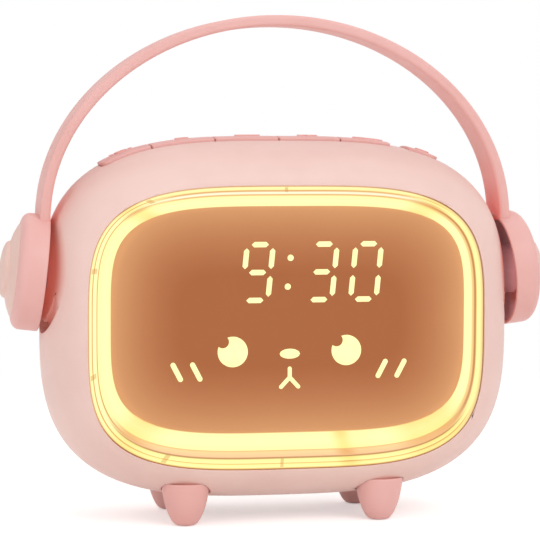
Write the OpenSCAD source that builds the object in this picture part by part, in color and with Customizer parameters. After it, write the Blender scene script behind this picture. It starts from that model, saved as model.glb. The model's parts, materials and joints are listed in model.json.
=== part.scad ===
// Bedside alarm clock with a night-light ring, on four short feet, with a swing-over carry handle
// that ends in two round ear cups. Millimetres, +Z up, the front faces -Y, and the origin lies on
// the table, under the middle of the housing.

/* [Housing] */
// Width of the housing, side to side
body_w = 142.4; // [125:0.1:180]
// Height of the housing, without its feet
body_h = 108.8; // [100:0.1:140]
// Depth of the housing, front to back
body_d = 51; // [48:0.5:70]
// Height of the housing's lowest point above the table
ground_gap = 6.4; // [4:0.1:12]
// Squareness of the housing's outline: 2 is an ellipse
outline_power = 3.2; // [2.6:0.1:4.5]
// How far the front and back edges round in
edge_round = 14; // [12:0.5:18]
// Wall thickness of the shells
wall = 2.4; // [2:0.1:3]
// How far in front of the back face the two shells meet
cover_depth = 7.2; // [6:0.1:9]

/* [Night light] */
// Distance from the housing's side to the light ring
ring_margin_side = 11.35; // [10:0.05:20]
// Distance from the housing's top to the light ring
ring_margin_top = 14.2; // [12:0.1:20]
// Distance from the housing's lowest point to the light ring
ring_margin_bottom = 11.2; // [10:0.1:20]
// Squareness of the ring's outline
ring_power = 3.7; // [3:0.1:4]
// How far the ring's face lies behind the housing's foremost point
ring_sink = 0.9; // [0.4:0.1:2]
// Depth of the light ring, front to back
ring_depth = 9.8; // [9:0.1:12]
// Width of the flange behind the housing's opening
ring_flange = 1.4; // [1:0.1:2]

/* [Display] */
// Width of the ring's band beside the window
band_side = 6.65; // [5:0.05:10]
// Width of the ring's band above the window
band_top = 5.9; // [5:0.1:10]
// Width of the ring's band below the window
band_bottom = 10.7; // [5:0.1:12]
// Squareness of the window's outline
window_power = 4.1; // [3:0.1:4.5]
// How far the window lies behind the housing's foremost point
window_sink = 2.2; // [1.5:0.1:3]
// Thickness of the display window
window_t = 2.2; // [1.6:0.1:3]
// Height of a digit, between the middles of its top and bottom bars
digit_h = 16.4; // [12:0.1:18]
// Width of a digit, between the middles of its upright bars
digit_w = 7.8; // [6:0.1:8.4]
// Thickness of a digit's bars
bar_t = 1.55; // [1.2:0.05:1.8]
// How much shorter than their place the level and the upright bars are
bar_gap = [1.15, 0.55];
// Slant of the digits, in degrees
digit_slant = 5.5; // [0:0.5:10]
// Radius of the face's eyes
eye_r = 4.5; // [3:0.1:5]
// Distance between the eyes
eye_spacing = 34.3; // [26:0.1:38]

/* [Keys] */
// Share of the housing's width left bare to the left of the row of keys
key_margin_left = 0.1257; // [0.1:0.0001:0.17]
// Share of the housing's width left bare to the right of the row of keys
key_margin_right = 0.1503; // [0.1:0.0001:0.17]
// How the six keys share the row, from the left
key_shares = [14.65, 18.8, 19.2, 18.7, 15.35, 9.6];
// Groove between two keys
key_gap = 0.3; // [0.3:0.05:0.8]
// Bare stretch before the last key
last_key_gap = 5.6; // [3:0.1:7]
// Size of a key, front to back
key_d = 13; // [10:0.1:14]
// How far the keys stand proud of the housing
key_proud = 0.8; // [0.6:0.1:2]
// Travel of a key
key_travel = 0.7; // [0.4:0.1:0.8]

/* [Handle] */
// How far the arch rises over the housing
handle_rise = 36.35; // [30:0.05:60]
// How far the arch stands out past the housing's sides
band_out = 0.9; // [0.8:0.05:1.5]
// Thickness of the band
band_t = 3.25; // [2.4:0.05:3.4]
// Size of the band, front to back
band_d = 15; // [10:0.5:20]
// Height of the arch, from where its curve springs
arch_h = 61; // [55:0.5:70]
// Squareness of the arch
arch_power = 2; // [1.9:0.05:2.4]
// Height of the handle's pivots above the housing's middle
pivot_rise = 13.8; // [8:0.1:18]
// How far the handle lies in front of the housing's middle
pivot_front = 1.2; // [0:0.1:3]
// Radius of an ear cup
cup_r = 17.4; // [15:0.1:18]
// Depth of an ear cup's body
cup_depth = 8.4; // [7:0.1:12]
// How far the ear cups face up, in degrees
cup_splay = 6.5; // [0:0.1:8]
// How far the ear cups face back, in degrees
cup_toe = 3; // [0:0.1:4]
// How far the cups' rims reach in past the housing's widest point
cup_reach = 0.9; // [0:0.1:2]
// Width of the edge left bare round an ear cup's cap
cap_margin = 3.4; // [3:0.1:5]
// Radius of the raised boss on the cap
cap_boss_r = 8.4; // [6:0.1:10]
// Radius of the handle's axles
axle_r = 4; // [3:0.1:5]

/* [Feet] */
// Distance between the left and right feet
foot_spacing_x = 59.3; // [50:0.1:70]
// Distance between the front and rear feet
foot_spacing_y = 29.2; // [24:0.1:34]
// Radius of a foot where it enters the housing
foot_r = 7.2; // [5:0.1:8]
// Radius of a foot's flat tip
foot_tip_r = 1.9; // [1.5:0.1:4]

/* [Inside] */
// Distance between the cover screws, side to side
cover_screw_w = 84; // [70:0.5:90]
// Distance between the cover screws, top to bottom
cover_screw_h = 52; // [44:0.5:56]
// Height of the charging socket over the housing's lowest point
socket_rise = 20.7; // [18:0.1:26]
// Radius of the speaker's frame
speaker_r = 18; // [14:0.1:19]
// Height of the speaker over the housing's middle
speaker_rise = 15; // [12:0.1:16]
// Width, depth and height of the battery pack
battery = [54, 8, 22];
// Width and height of the main board
main_board = [70, 44];

/* [Hidden] */
$fn = 48;

// Colours
shell_pink = [0.96, 0.82, 0.77];
trim_pink = [0.93, 0.66, 0.64];
cap_pink = [0.90, 0.78, 0.73];
glow_yellow = [1.0, 0.95, 0.55];
window_brown = [0.66, 0.40, 0.24];
segment_cream = [1.0, 1.0, 0.80];
board_green = [0.10, 0.38, 0.24];
frame_white = [0.86, 0.86, 0.84];
steel = [0.72, 0.72, 0.74];
part_black = [0.12, 0.12, 0.13];

// Clearances
eps = 0.01;
loose = 0.3;
snug = 0.15;
running = 0.05;

// Housing places
half_w = body_w / 2;
half_h = body_h / 2;
half_d = body_d / 2;
mid_z = ground_gap + half_h;
front_y = -half_d;
seam_y = half_d - cover_depth;
around = 96;
pole_steps = 12;

// Night-light and display places, front to back
ring_w = body_w - 2 * ring_margin_side;
ring_h = body_h - ring_margin_top - ring_margin_bottom;
ring_z = mid_z + (ring_margin_bottom - ring_margin_top) / 2;
window_w = ring_w - 2 * band_side;
window_h = ring_h - band_top - band_bottom;
window_z = ring_z + (band_bottom - band_top) / 2;
ring_y = front_y + ring_sink;
ring_back = ring_y + ring_depth;
flange_t = 1.6;
flange_y = ring_back - flange_t - 1;
collar_t = 2;
groove_t = 0.35;
groove_deep = 0.5;
groove_place = 0.16;
step_place = 0.4;
window_y = front_y + window_sink;
window_back = window_y + window_t;
ledge_in = 1.5;
board_t = 1.4;
led_t = 1.2;
led_w = 2.8;
led_count = 28;
ring_board_y = ring_back + led_t;
frame_y = ring_board_y + board_t;
frame_spacer = 2;
frame_t = 2;
frame_in = 1;
display_post = [0.718, 0.612];
plate_y = frame_y + frame_spacer;
plate_back = plate_y + frame_t;
display_board_y = window_back + 4.3;

// Screws that hold the inner frame to the front shell
boss_r = 2.4;
ear_r = 2.2;
tray_wall = 2.2;
boss_angles = [for (share = [-0.522, 0.763]) atan(share * ring_h / ring_w)];
small_bore = 1.05;
small_shank = 1;
small_head = 2.1;
head_t = 1.3;

// Cover screws, speaker, battery and charging socket
post_r = 3.4;
post_end = half_d - 5.5;
cover_bore = 1.6;
cover_shank = 1.5;
cover_head = 2.8;
cover_head_t = 2;
counterbore_r = 3.1;
counterbore_t = 3.1;
inner_back = half_d - wall;
speaker_z = mid_z + speaker_rise;
gasket_t = 1;
speaker_rim_t = 3;
basket_d = 6;
magnet_r = speaker_r - 7;
magnet_t = 5;
grille_hole = 0.9;
grille_pitch = 4.1;
battery_z = speaker_z - speaker_r - 2.8 - battery[2] / 2;
clip_t = 1.4;
clip_screw_x = battery[0] / 2 + 4.6;
usb_z = ground_gap + socket_rise;
usb_w = 9;
usb_h = 3.3;
usb_d = 7.4;
usb_board_t = 1.2;
usb_board_w = 16;
main_z = mid_z + 2;
standoff = 3.2;
main_y = plate_back + standoff;
coin_r = 10;
coin_t = 3.2;

// Key places
key_last = len(key_shares) - 1;
key_unit = (body_w * (1 - key_margin_left - key_margin_right) - last_key_gap - (key_last - 1) * key_gap)
    / (key_shares * [for (share = key_shares) 1]);
key_edges = [for (i = 0, x = key_margin_left * body_w - half_w; i <= key_last;
    x = x + key_shares[i] * key_unit + (i == key_last - 1 ? last_key_gap : key_gap), i = i + 1)
    [x, x + key_shares[i] * key_unit]];
key_steps = 8;
slot_clear = 0.25;
key_lip = 1;
lip_top = wall + 1.3;
lip_t = 0.9;
stem_r = 2;
stem_end = lip_top + lip_t + 1.4;
press_gap = key_travel + 0.2;
plunger_t = 0.6;
plunger_r = 1.5;
switch_w = 6;
switch_t = 3.1;
switch_top = stem_end + press_gap + plunger_t;
key_board_top = switch_top + switch_t;
key_board_t = 1.2;
key_board_d = key_d + 2 * key_lip + 0.2;
key_frame_t = 1.5;
key_wall = 1.3;
key_frame_d = key_board_d + 2 * loose + 2 * key_wall;
key_wall_top = inset_at(key_frame_d / 2, wall) + 0.7;
symbol_t = 0.4;
// Where each key's raised symbol starts and ends, from the key's left end, and its depth
symbols = [[3.2, 9.9, 4], [8, 11.7, 3.6], [7, 14.6, 1.6], [6.8, 12.9, 5], [5.1, 14.2, 1.6],
    [3.5, 7.9, 4.6]];

// Handle places
pivot_z = mid_z + pivot_rise;
rim_x = half_w - cup_reach;
cup_tilt = acos(cos(cup_splay) * cos(cup_toe));
seat_x = rim_x - cup_r * sin(cup_tilt) - 0.35;
seat_r = cup_r + 0.4;
pad_t = 4.5;
pad_r = seat_r + 2.4;
cup_recess = 4.2;
// The hollow of an ear cup, from its rim inwards: radius and depth
cup_dish = [[cup_r - 0.9, 0], [cup_r - 1.6, 0.9], [cup_r - 2.8, 1.9], [cup_r - 4.4, 2.9],
    [cup_r - 6.6, 3.7], [cup_r - 9, cup_recess]];
cap_r = cup_r - cap_margin;
hub_r = axle_r + 3.5;
washer_t = 1.2;
hub_x = seat_x + washer_t + running;
axle_end = seat_x - pad_t - 0.25;
pivot_washer_r = axle_r + 3;
pivot_washer_t = 1.2;
pivot_screw_r = 1.5;
pivot_head_r = 3;
cap_seat = 1.5;
band_w = body_w + 2 * band_out;
arch_z = ground_gap + body_h + handle_rise - arch_h;
leg_start = cup_r - 2.4;
band_end = pivot_z + leg_start;
arch_steps = 60;

// Foot places
foot_x = foot_spacing_x / 2;
foot_y = foot_spacing_y / 2;
foot_seat = ground_gap + 6.6;
foot_pad_t = 2.2;
foot_gap = 0.1;
foot_screw_r = 0.85;

// Distance from the middle to a superellipse at one angle
function outline_r(a, b, n, t) =
    pow(pow(abs(cos(t)) / a, n) + pow(abs(sin(t)) / b, n), -1 / n);

// Points round a superellipse, as seen from the front
function outline(a, b, n, steps = around) =
    [for (i = [0:steps - 1]) let (t = i * 360 / steps, r = outline_r(a, b, n, t))
        [r * cos(t), r * sin(t)]];

// The housing's profile at one angle, 90 at the front pole and -90 at the back: [y, inset]
function profile(angle, skin) =
    [-(half_d - skin) * sin(angle), skin + edge_round * (1 - cos(angle))];

// Angle on the profile at which a skin reaches the plane y
function profile_angle(y, skin) = asin(-y / (half_d - skin));

// Inset of a skin's outline at the plane y
function inset_at(y, skin) = profile(profile_angle(y, skin), skin)[1];

// A smooth solid between two angles of the profile, in from the outer surface by skin
module pillow(angle_a, angle_b, skin) {
    rings = [for (k = [0:pole_steps])
        let (p = profile(angle_a + (angle_b - angle_a) * k / pole_steps, skin))
        [for (q = outline(half_w - p[1], half_h - p[1], outline_power)) [q[0], p[0], mid_z + q[1]]]];
    points = [for (ring = rings) each ring];
    last = pole_steps * around;
    sides = [for (k = [0:pole_steps - 1], i = [0:around - 1])
        let (j = (i + 1) % around, a = k * around, b = a + around)
        each [[a + i, b + j, b + i], [a + i, a + j, b + j]]];
    front = [for (i = [around - 1:-1:0]) i];
    back = [for (i = [0:around - 1]) last + i];
    polyhedron(points, concat([front], sides, [back]), convexity = 4);
}

// A straight prism along Y with a superelliptic outline
module oval(a, b, n, z, y0, y1, steps = around)
    translate([0, y1, z]) rotate([90, 0, 0]) linear_extrude(y1 - y0) polygon(outline(a, b, n, steps));

// A round bar along Y
module y_rod(r, x, z, y0, y1) translate([x, y1, z]) rotate([90, 0, 0]) cylinder(r = r, h = y1 - y0);

// A round bar along X, on the handle's axis
module x_rod(r, x0, x1) translate([x0, -pivot_front, pivot_z]) rotate([0, 90, 0])
    cylinder(r = r, h = x1 - x0);

// A block given by its lowest and highest corners
module block(low, high) translate(low) cube(high - low);

// A copy on each side of the middle
module both_sides() {
    children();
    mirror([1, 0, 0]) children();
}

// A copy at each corner of a rectangle round the middle, seen from the front
module four_corners(x, z) for (sx = [-1, 1], sz = [-1, 1]) translate([sx * x, 0, sz * z]) children();

// ---- Housing ----

module foot_places() for (sx = [-1, 1], sy = [-1, 1]) translate([sx * foot_x, sy * foot_y, 0]) children();

// How far from the ring's middle a screw boss lies, and where the frame's ear starts
function boss_reach(t) =
    outline_r(ring_w / 2 + ring_flange, ring_h / 2 + ring_flange, ring_power, t) + boss_r + loose;
function ear_from(t) = outline_r(ring_w / 2 - frame_in - tray_wall / 2,
    ring_h / 2 - frame_in - tray_wall / 2, ring_power, t);

module boss_places() for (t = boss_angles, side = [-1, 1])
    translate([side * boss_reach(t) * cos(t), 0, ring_z + boss_reach(t) * sin(t)]) children();

module shell_bosses() {
    boss_places() y_rod(boss_r, 0, 0, front_y, plate_y);
    both_sides() x_rod(pad_r, seat_x - pad_t, half_w);
    foot_places() cylinder(r = foot_r + foot_gap + 1.8, h = foot_seat + foot_pad_t);
    oval(ring_w / 2 + snug + collar_t, ring_h / 2 + snug + collar_t, ring_power, ring_z, front_y, flange_y);
}

module shell_openings() {
    oval(ring_w / 2 + snug, ring_h / 2 + snug, ring_power, ring_z, front_y - 1, flange_y + eps);
    boss_places() y_rod(small_bore, 0, 0, plate_y - 7, plate_y + eps);
    both_sides() {
        rim_path();
        x_rod(hub_r + 0.5, seat_x, half_w + 1);
        x_rod(axle_r + running, seat_x - pad_t - 1, half_w);
    }
    foot_places() {
        translate([0, 0, -1]) cylinder(r = foot_r + foot_gap, h = foot_seat + 1);
        cylinder(r = small_bore + 0.1, h = foot_seat + foot_pad_t + 1);
        translate([0, 0, foot_seat + foot_pad_t]) cylinder(r = small_head + loose, h = head_t + 1);
    }
    key_slot(key_edges[0][0], key_edges[key_last - 1][1]);
    key_slot(key_edges[key_last][0], key_edges[key_last][1]);
}

// How near the housing's middle a cup's rim comes as the handle swings, at a distance from its axis
function rim_floor(r) = rim_x - r * tan(cup_tilt) - loose;

// The way that a cup's rim and the band's end take as the handle swings, cut into the housing's side
module rim_path() {
    hollow = [for (i = [3, 2]) [cup_dish[i][0], rim_floor(cup_dish[i][0]) + cup_dish[i][1]]];
    rim = [for (r = [cup_dish[0][0], seat_r]) [r, rim_floor(r)]];
    translate([0, -pivot_front, pivot_z]) rotate([0, 90, 0]) rotate_extrude()
        polygon(concat(hollow, [[leg_start - loose, band_w / 2 - band_t - loose]], rim,
            [[seat_r, half_w + 1], [hollow[0][0], half_w + 1]]));
}

module front_shell() color(shell_pink) difference() {
    pillow(90, profile_angle(seam_y, 0), 0);
    difference() {
        pillow(90, -80, wall);
        shell_bosses();
    }
    shell_openings();
}

module cover_bosses() {
    translate([0, 0, mid_z])
        four_corners(cover_screw_w / 2, cover_screw_h / 2) y_rod(post_r + 1.2, 0, 0, post_end, half_d);
    difference() {
        y_rod(speaker_r + 2, 0, speaker_z, inner_back - 6, half_d);
        y_rod(speaker_r + 0.2, 0, speaker_z, 0, inner_back);
    }
    both_sides() {
        block([usb_board_w / 2 + 0.2, inner_back - 9, usb_z - 4],
            [usb_board_w / 2 + 1.8, half_d, usb_z + 1]);
        y_rod(2.6, clip_screw_x, battery_z, inner_back - battery[1], half_d);
    }
}

module cover_openings() {
    translate([0, 0, mid_z]) four_corners(cover_screw_w / 2, cover_screw_h / 2) {
        y_rod(cover_bore, 0, 0, post_end - 1, half_d + 1);
        y_rod(counterbore_r, 0, 0, half_d - counterbore_t, half_d + 1);
    }
    for (ring = [0:3], i = [0:max(0, 6 * ring - 1)])
        let (t = ring == 0 ? 0 : i * 60 / ring, r = ring * grille_pitch)
        y_rod(grille_hole, r * cos(t), speaker_z + r * sin(t), inner_back - 1, half_d + 1);
    both_sides() y_rod(small_bore, clip_screw_x, battery_z, inner_back - battery[1] - 1, inner_back - 1);
    socket_shape(loose, inner_back - 4, half_d + 1);
    y_rod(0.8, usb_w / 2 + 8, usb_z, inner_back - 1, half_d + 1);
    foot_places() translate([0, 0, -1]) cylinder(r = foot_r + foot_gap, h = foot_seat + 1);
}

module rear_cover() color(shell_pink) {
    lip_inset = inset_at(seam_y, wall) + loose;
    difference() {
        pillow(profile_angle(seam_y, 0), -90, 0);
        difference() {
            pillow(80, -90, wall);
            cover_bosses();
        }
        cover_openings();
    }
    difference() {
        oval(half_w - lip_inset, half_h - lip_inset, outline_power, mid_z, seam_y - 2.5, seam_y + 1.5);
        oval(half_w - lip_inset - 1.4, half_h - lip_inset - 1.4, outline_power, mid_z, 0, half_d);
        foot_places() cylinder(r = foot_r + 2.5, h = foot_seat + foot_pad_t + head_t + 1);
    }
}

// ---- Night light and display ----

// Half width, half height, middle and squareness of the ring's outline, from its outer edge (0) to
// the window (1)
function band_a(f) = ring_w / 2 + (window_w / 2 - ring_w / 2) * f;
function band_b(f) = ring_h / 2 + (window_h / 2 - ring_h / 2) * f;
function band_z(f) = ring_z + (window_z - ring_z) * f;
function band_n(f) = ring_power + (window_power - ring_power) * f;

module band_prism(f, grow, y0, y1) oval(band_a(f) + grow, band_b(f) + grow, band_n(f), band_z(f), y0, y1);

module light_ring() color(glow_yellow) difference() {
    union() {
        band_prism(0, 0, ring_y, ring_back);
        band_prism(0, ring_flange, flange_y + eps, flange_y + flange_t);
    }
    band_prism(step_place, 0, ring_y - 1, window_y);
    band_prism(1, snug / 2, ring_y, window_back);
    band_prism(1, -ledge_in, ring_y, ring_back + 1);
    difference() {
        band_prism(groove_place, 0, ring_y - 1, ring_y + groove_deep);
        band_prism(groove_place, -groove_t, ring_y - 2, ring_y + groove_deep + 1);
    }
}

// One bar of a digit: a hexagon, leaning with the digit
function bar_points(x, z, length, upright, grow) =
    let (h = length / 2 + grow, w = bar_t / 2 + grow,
        flat = [[-h, 0], [w - h, -w], [h - w, -w], [h, 0], [h - w, w], [w - h, w]])
    [for (p = flat) let (q = upright ? [p[1], p[0]] : p)
        [x + q[0] + (z + q[1]) * tan(digit_slant), z + q[1]]];

// Bars of a digit, in the order top, upper right, lower right, bottom, lower left, upper left, middle
bar_places = [[0, 1, false], [1, 0.5, true], [1, -0.5, true], [0, -1, false], [-1, -0.5, true],
    [-1, 0.5, true], [0, 0, false]];
nine = [0, 1, 2, 3, 5, 6];
three = [0, 1, 2, 3, 6];
zero = [0, 1, 2, 3, 4, 5];
digit_x = [-9.8, 9.5, 23];
digits = [nine, three, zero];
digit_z = window_z + 13.95;
colon_x = -0.3;
colon_z = 4.25;
dot_r = 0.92;
face_z = window_z - 9.35;
notch_r = 1.9;
nose = [3.05, 1.45];
mouth_w = 1.2;
cheek_w = 1.5;
cheek_x = [28, 33.8];
cheek_half = [1.1, 2.1];

// A bar with round ends between two points, seen from the front
module capsule(p, q, w, y0, y1) {
    v = q - p;
    turn = atan2(v[1], v[0]);
    ends = [for (end = [[p, 90], [q, -90]], i = [0:8]) let (t = turn + end[1] + i * 180 / 8)
        end[0] + w / 2 * [cos(t), sin(t)]];
    translate([0, y1, 0]) rotate([90, 0, 0]) linear_extrude(y1 - y0) polygon(ends);
}

module eye(side, grow, y0, y1) difference() {
    x = side * eye_spacing / 2;
    y_rod(eye_r + grow, x, face_z, y0, y1);
    y_rod(notch_r - grow, x - 3, face_z + 3, y0 - 1, y1 + 1);
}

module mouth(grow, y0, y1) {
    w = mouth_w + 2 * grow;
    fork = [0, face_z - 7.8];
    capsule([0, face_z - 5.2], fork, w, y0, y1);
    for (side = [-1, 1]) capsule(fork, [side * 2.6, face_z - 10.6], w, y0, y1);
}

// Everything that the display shows, as bars of light between two planes
module display_marks(grow, y0, y1) {
    for (k = [0:len(digits) - 1], i = digits[k]) {
        place = bar_places[i];
        length = place[2] ? digit_h / 2 - bar_t - bar_gap[1] : digit_w - bar_t - bar_gap[0];
        translate([digit_x[k], y1, digit_z]) rotate([90, 0, 0]) linear_extrude(y1 - y0)
            polygon(bar_points(place[0] * digit_w / 2, place[1] * digit_h / 2, length, place[2], grow));
    }
    for (side = [-1, 1]) {
        y_rod(dot_r + grow, colon_x + side * colon_z * tan(digit_slant), digit_z + side * colon_z, y0, y1);
        eye(side, grow, y0, y1);
        for (x = cheek_x)
            capsule([side * (x - cheek_half[0]), face_z - 5.7 - cheek_half[1]],
                [side * (x + cheek_half[0]), face_z - 5.7 + cheek_half[1]], cheek_w + 2 * grow, y0, y1);
    }
    oval(nose[0] + grow, nose[1] + grow, 2, face_z - 0.8, y0, y1, 28);
    mouth(grow, y0, y1);
}

module display_window() color(window_brown) difference() {
    band_prism(1, 0, window_y, window_back);
    display_marks(running, window_y - 1, window_back + 1);
}

module segment_lights() color(segment_cream) display_marks(0, window_y, display_board_y);

module display_board() color(board_green)
    band_prism(1, -ledge_in - 0.7, display_board_y, display_board_y + board_t);

module ring_board() color(board_green) difference() {
    band_prism(0, -0.3, ring_board_y, frame_y);
    band_prism(1, -3, ring_board_y - 1, frame_y + 1);
}

module ring_leds() color("ivory") for (i = [0:led_count - 1]) {
    t = (i + 0.5) * 360 / led_count;
    r = outline_r(band_a(0.5), band_b(0.5), band_n(0.5), t);
    translate([r * cos(t), ring_back, band_z(0.5) + r * sin(t)])
        translate([-led_w / 2, 0, -led_w / 2]) cube([led_w, led_t, led_w]);
}

// ---- Inner frame and electronics ----

module inner_frame() color(frame_white) difference() {
    union() {
        difference() {
            band_prism(0, -frame_in, frame_y, plate_back);
            band_prism(0, -frame_in - tray_wall, frame_y - 1, plate_y);
        }
        for (t = boss_angles, side = [-1, 1]) {
            out = [side * cos(t), sin(t)];
            translate([0, 0, ring_z])
                capsule(out * (ear_from(t) + ear_r), out * boss_reach(t), 2 * ear_r, plate_y, plate_back);
        }
        translate([0, 0, window_z])
            four_corners(display_post[0] * window_w / 2, display_post[1] * window_h / 2)
            y_rod(2.5, 0, 0, display_board_y + board_t, plate_y);
        translate([0, 0, mid_z])
            four_corners(cover_screw_w / 2, cover_screw_h / 2) y_rod(post_r, 0, 0, plate_y, post_end);
        translate([0, 0, main_z])
            four_corners(main_board[0] / 2 - 4, main_board[1] / 2 - 4) y_rod(2.2, 0, 0, plate_y, main_y);
    }
    boss_places() y_rod(small_shank + snug, 0, 0, plate_y - 1, plate_back + 1);
    translate([0, 0, mid_z])
        four_corners(cover_screw_w / 2, cover_screw_h / 2)
            y_rod(cover_shank + running, 0, 0, post_end - 10, post_end + 1);
    block([-24, frame_y, mid_z - 12], [24, plate_back + 1, mid_z + 12]);
}

// A pan-head screw that points to -Y, with its head on the plane y
module y_screw(shank, length, head, thick, y) {
    y_rod(shank, 0, 0, y - length, y + eps);
    difference() {
        y_rod(head, 0, 0, y, y + thick);
        for (turn = [0, 90]) rotate([0, turn, 0])
            block([-head * 0.6, y + thick * 0.5, -0.25], [head * 0.6, y + thick + 1, 0.25]);
    }
}

module frame_screws() color(steel) boss_places()
    y_screw(small_shank, 8, small_head, head_t, plate_back);

module cover_screws() color(steel) translate([0, 0, mid_z])
    four_corners(cover_screw_w / 2, cover_screw_h / 2)
        y_screw(cover_shank, 10, cover_head, cover_head_t, half_d - counterbore_t);

module clip_screws() color(steel) both_sides() translate([clip_screw_x, 0, battery_z]) mirror([0, 1, 0])
    y_screw(small_shank, clip_t + 5, small_head, head_t, battery[1] + clip_t - inner_back);

module circuit_board() color(board_green) translate([-main_board[0] / 2, main_y, main_z - main_board[1] / 2])
    cube([main_board[0], board_t, main_board[1]]);

module board_chips() color(part_black) translate([0, main_y + board_t, main_z]) {
    block([6, 0, -4], [16, 1.6, 6]);
    block([22, 0, 6], [29, 1.8, 12]);
    block([20, 0, -12], [30, 1.5, -7]);
    block([3, 0, 10], [14, 4.5, 15]);
    block([3, 0, -17], [14, 4.5, -12]);
}

coin_place = [-18, main_y + board_t, main_z];

module coin_holder() color(part_black) translate(coin_place) difference() {
    y_rod(coin_r + 1.4, 0, 0, 0, coin_t + 0.6);
    y_rod(coin_r + 0.2, 0, 0, 0.8, coin_t + 1);
    block([-4, 0.8, coin_r - 2], [4, coin_t + 1, coin_r + 3]);
}

module coin_cell() color(steel) translate(coin_place) y_rod(coin_r, 0, 0, 0.8 + eps, 0.8 + coin_t);

// ---- Keys ----

// A point over the housing's top at x, out from the surface by d
function top_point(x, d) =
    let (z = half_h * pow(1 - pow(abs(x) / half_w, outline_power), 1 / outline_power),
        n = top_normal(x)) [x + n[0] * d, z + n[1] * d];

// The outward direction at x on the housing's top
function top_normal(x) =
    let (z = half_h * pow(1 - pow(abs(x) / half_w, outline_power), 1 / outline_power),
        v = [sign(x) * pow(abs(x) / half_w, outline_power - 1) / half_w,
            pow(z / half_h, outline_power - 1) / half_h])
    v / norm(v);

// A strip that follows the housing's top from x0 to x1, between two heights over its surface
module ribbon(x0, x1, low, high, depth, steps = key_steps) {
    xs = [for (i = [0:steps]) x0 + (x1 - x0) * i / steps];
    translate([0, depth / 2, mid_z]) rotate([90, 0, 0]) linear_extrude(depth)
        polygon(concat([for (x = xs) top_point(x, low)],
            [for (i = [steps:-1:0]) top_point(xs[i], high)]));
}

// The slot that a row of keys stands in, with a seat under the wall for their lips
module key_slot(x0, x1) {
    ribbon(x0 - slot_clear, x1 + slot_clear, -lip_top, 5, key_d + 2 * slot_clear, 4 * key_steps);
    ribbon(x0 - 2 * slot_clear, x1 + 2 * slot_clear, -stem_end, loose - lip_top,
        key_d + 2 * key_lip + 2 * slot_clear, 4 * key_steps);
}

// Turns and moves its children from the origin, +Z up, to the housing's surface at x
module on_top(x) {
    n = top_normal(x);
    p = top_point(x, 0);
    translate([p[0], 0, mid_z + p[1]]) rotate([0, atan2(n[0], n[1]), 0]) children();
}

module key(i) color(trim_pink) {
    x0 = key_edges[i][0];
    x1 = key_edges[i][1];
    mark = symbols[i];
    ribbon(x0, x1, -lip_top - lip_t / 2, key_proud, key_d);
    ribbon(x0, x1, -lip_top - lip_t, -lip_top, key_d + 2 * key_lip);
    ribbon(x0 + mark[0], x0 + mark[1], key_proud - 0.2, key_proud + symbol_t, mark[2]);
    on_top((x0 + x1) / 2) translate([0, 0, -stem_end]) cylinder(r = stem_r, h = stem_end - lip_top - 0.2);
}

module key_light() key(0);
module key_mode() key(1);
module key_down() key(2);
module key_up() key(3);
module key_snooze() key(4);
module key_power() key(5);

module tact_switches() color(part_black) for (edge = key_edges) on_top((edge[0] + edge[1]) / 2) {
    translate([-switch_w / 2, -switch_w / 2, -key_board_top]) cube([switch_w, switch_w, switch_t]);
    translate([0, 0, -switch_top - eps]) cylinder(r = plunger_r, h = plunger_t);
}

board_from = key_edges[0][0] + 1;
board_to = key_edges[key_last][1] - 1;

module key_board() color(board_green)
    ribbon(board_from, board_to, -key_board_top - key_board_t, -key_board_top, key_board_d, 40);

module key_frame() color(frame_white) {
    low = -key_board_top - key_board_t - key_frame_t;
    ribbon(board_from, board_to, low, low + key_frame_t, key_frame_d, 40);
    for (side = [-1, 1]) translate([0, side * (key_frame_d - key_wall) / 2, 0])
        ribbon(board_from + 1, board_to - 1, low + key_frame_t / 2, -key_wall_top, key_wall, 40);
}

// ---- Speaker, battery and charging socket on the rear cover ----

speaker_back = inner_back - gasket_t;
basket_y = speaker_back - speaker_rim_t;

module speaker_gasket() color(part_black) difference() {
    y_rod(speaker_r, 0, speaker_z, speaker_back, inner_back);
    y_rod(speaker_r - 2.5, 0, speaker_z, speaker_back - 1, inner_back + 1);
}

module speaker_frame() color(steel) translate([0, 0, speaker_z]) rotate([-90, 0, 0]) rotate_extrude()
    polygon([[magnet_r, basket_y - basket_d], [magnet_r + 2, basket_y - basket_d],
        [speaker_r - 1, basket_y], [speaker_r, basket_y], [speaker_r, speaker_back],
        [speaker_r - 3, speaker_back], [speaker_r - 3, basket_y], [magnet_r, basket_y - basket_d + 1.5]]);

module speaker_cone() color(part_black) translate([0, 0, speaker_z]) rotate([-90, 0, 0]) rotate_extrude()
    polygon([[0, basket_y - 1], [5, basket_y - 2.5], [speaker_r - 4, basket_y + 1],
        [speaker_r - 3, basket_y + 1], [speaker_r - 3, basket_y + 1.6], [speaker_r - 4, basket_y + 1.8],
        [5, basket_y - 1.7], [0, basket_y - 0.2]]);

module speaker_magnet() color(part_black)
    y_rod(magnet_r + 1.5, 0, speaker_z, basket_y - basket_d - magnet_t, basket_y - basket_d);

module battery_pack() color("lightsteelblue")
    block([-battery[0] / 2, inner_back - battery[1], battery_z - battery[2] / 2],
        [battery[0] / 2, inner_back - eps, battery_z + battery[2] / 2]);

module battery_clip() color(frame_white) {
    reach = clip_screw_x + 3;
    y = inner_back - battery[1] - clip_t;
    difference() {
        block([-reach, y, battery_z - 5], [reach, y + clip_t, battery_z + 5]);
        both_sides() y_rod(small_shank + snug, clip_screw_x, battery_z, y - 1, inner_back);
    }
}

usb_board_z = usb_z - usb_h / 2 - usb_board_t;

module usb_board() color(board_green)
    block([-usb_board_w / 2, inner_back - 11, usb_board_z],
        [usb_board_w / 2, inner_back - 0.6, usb_board_z + usb_board_t]);

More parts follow.
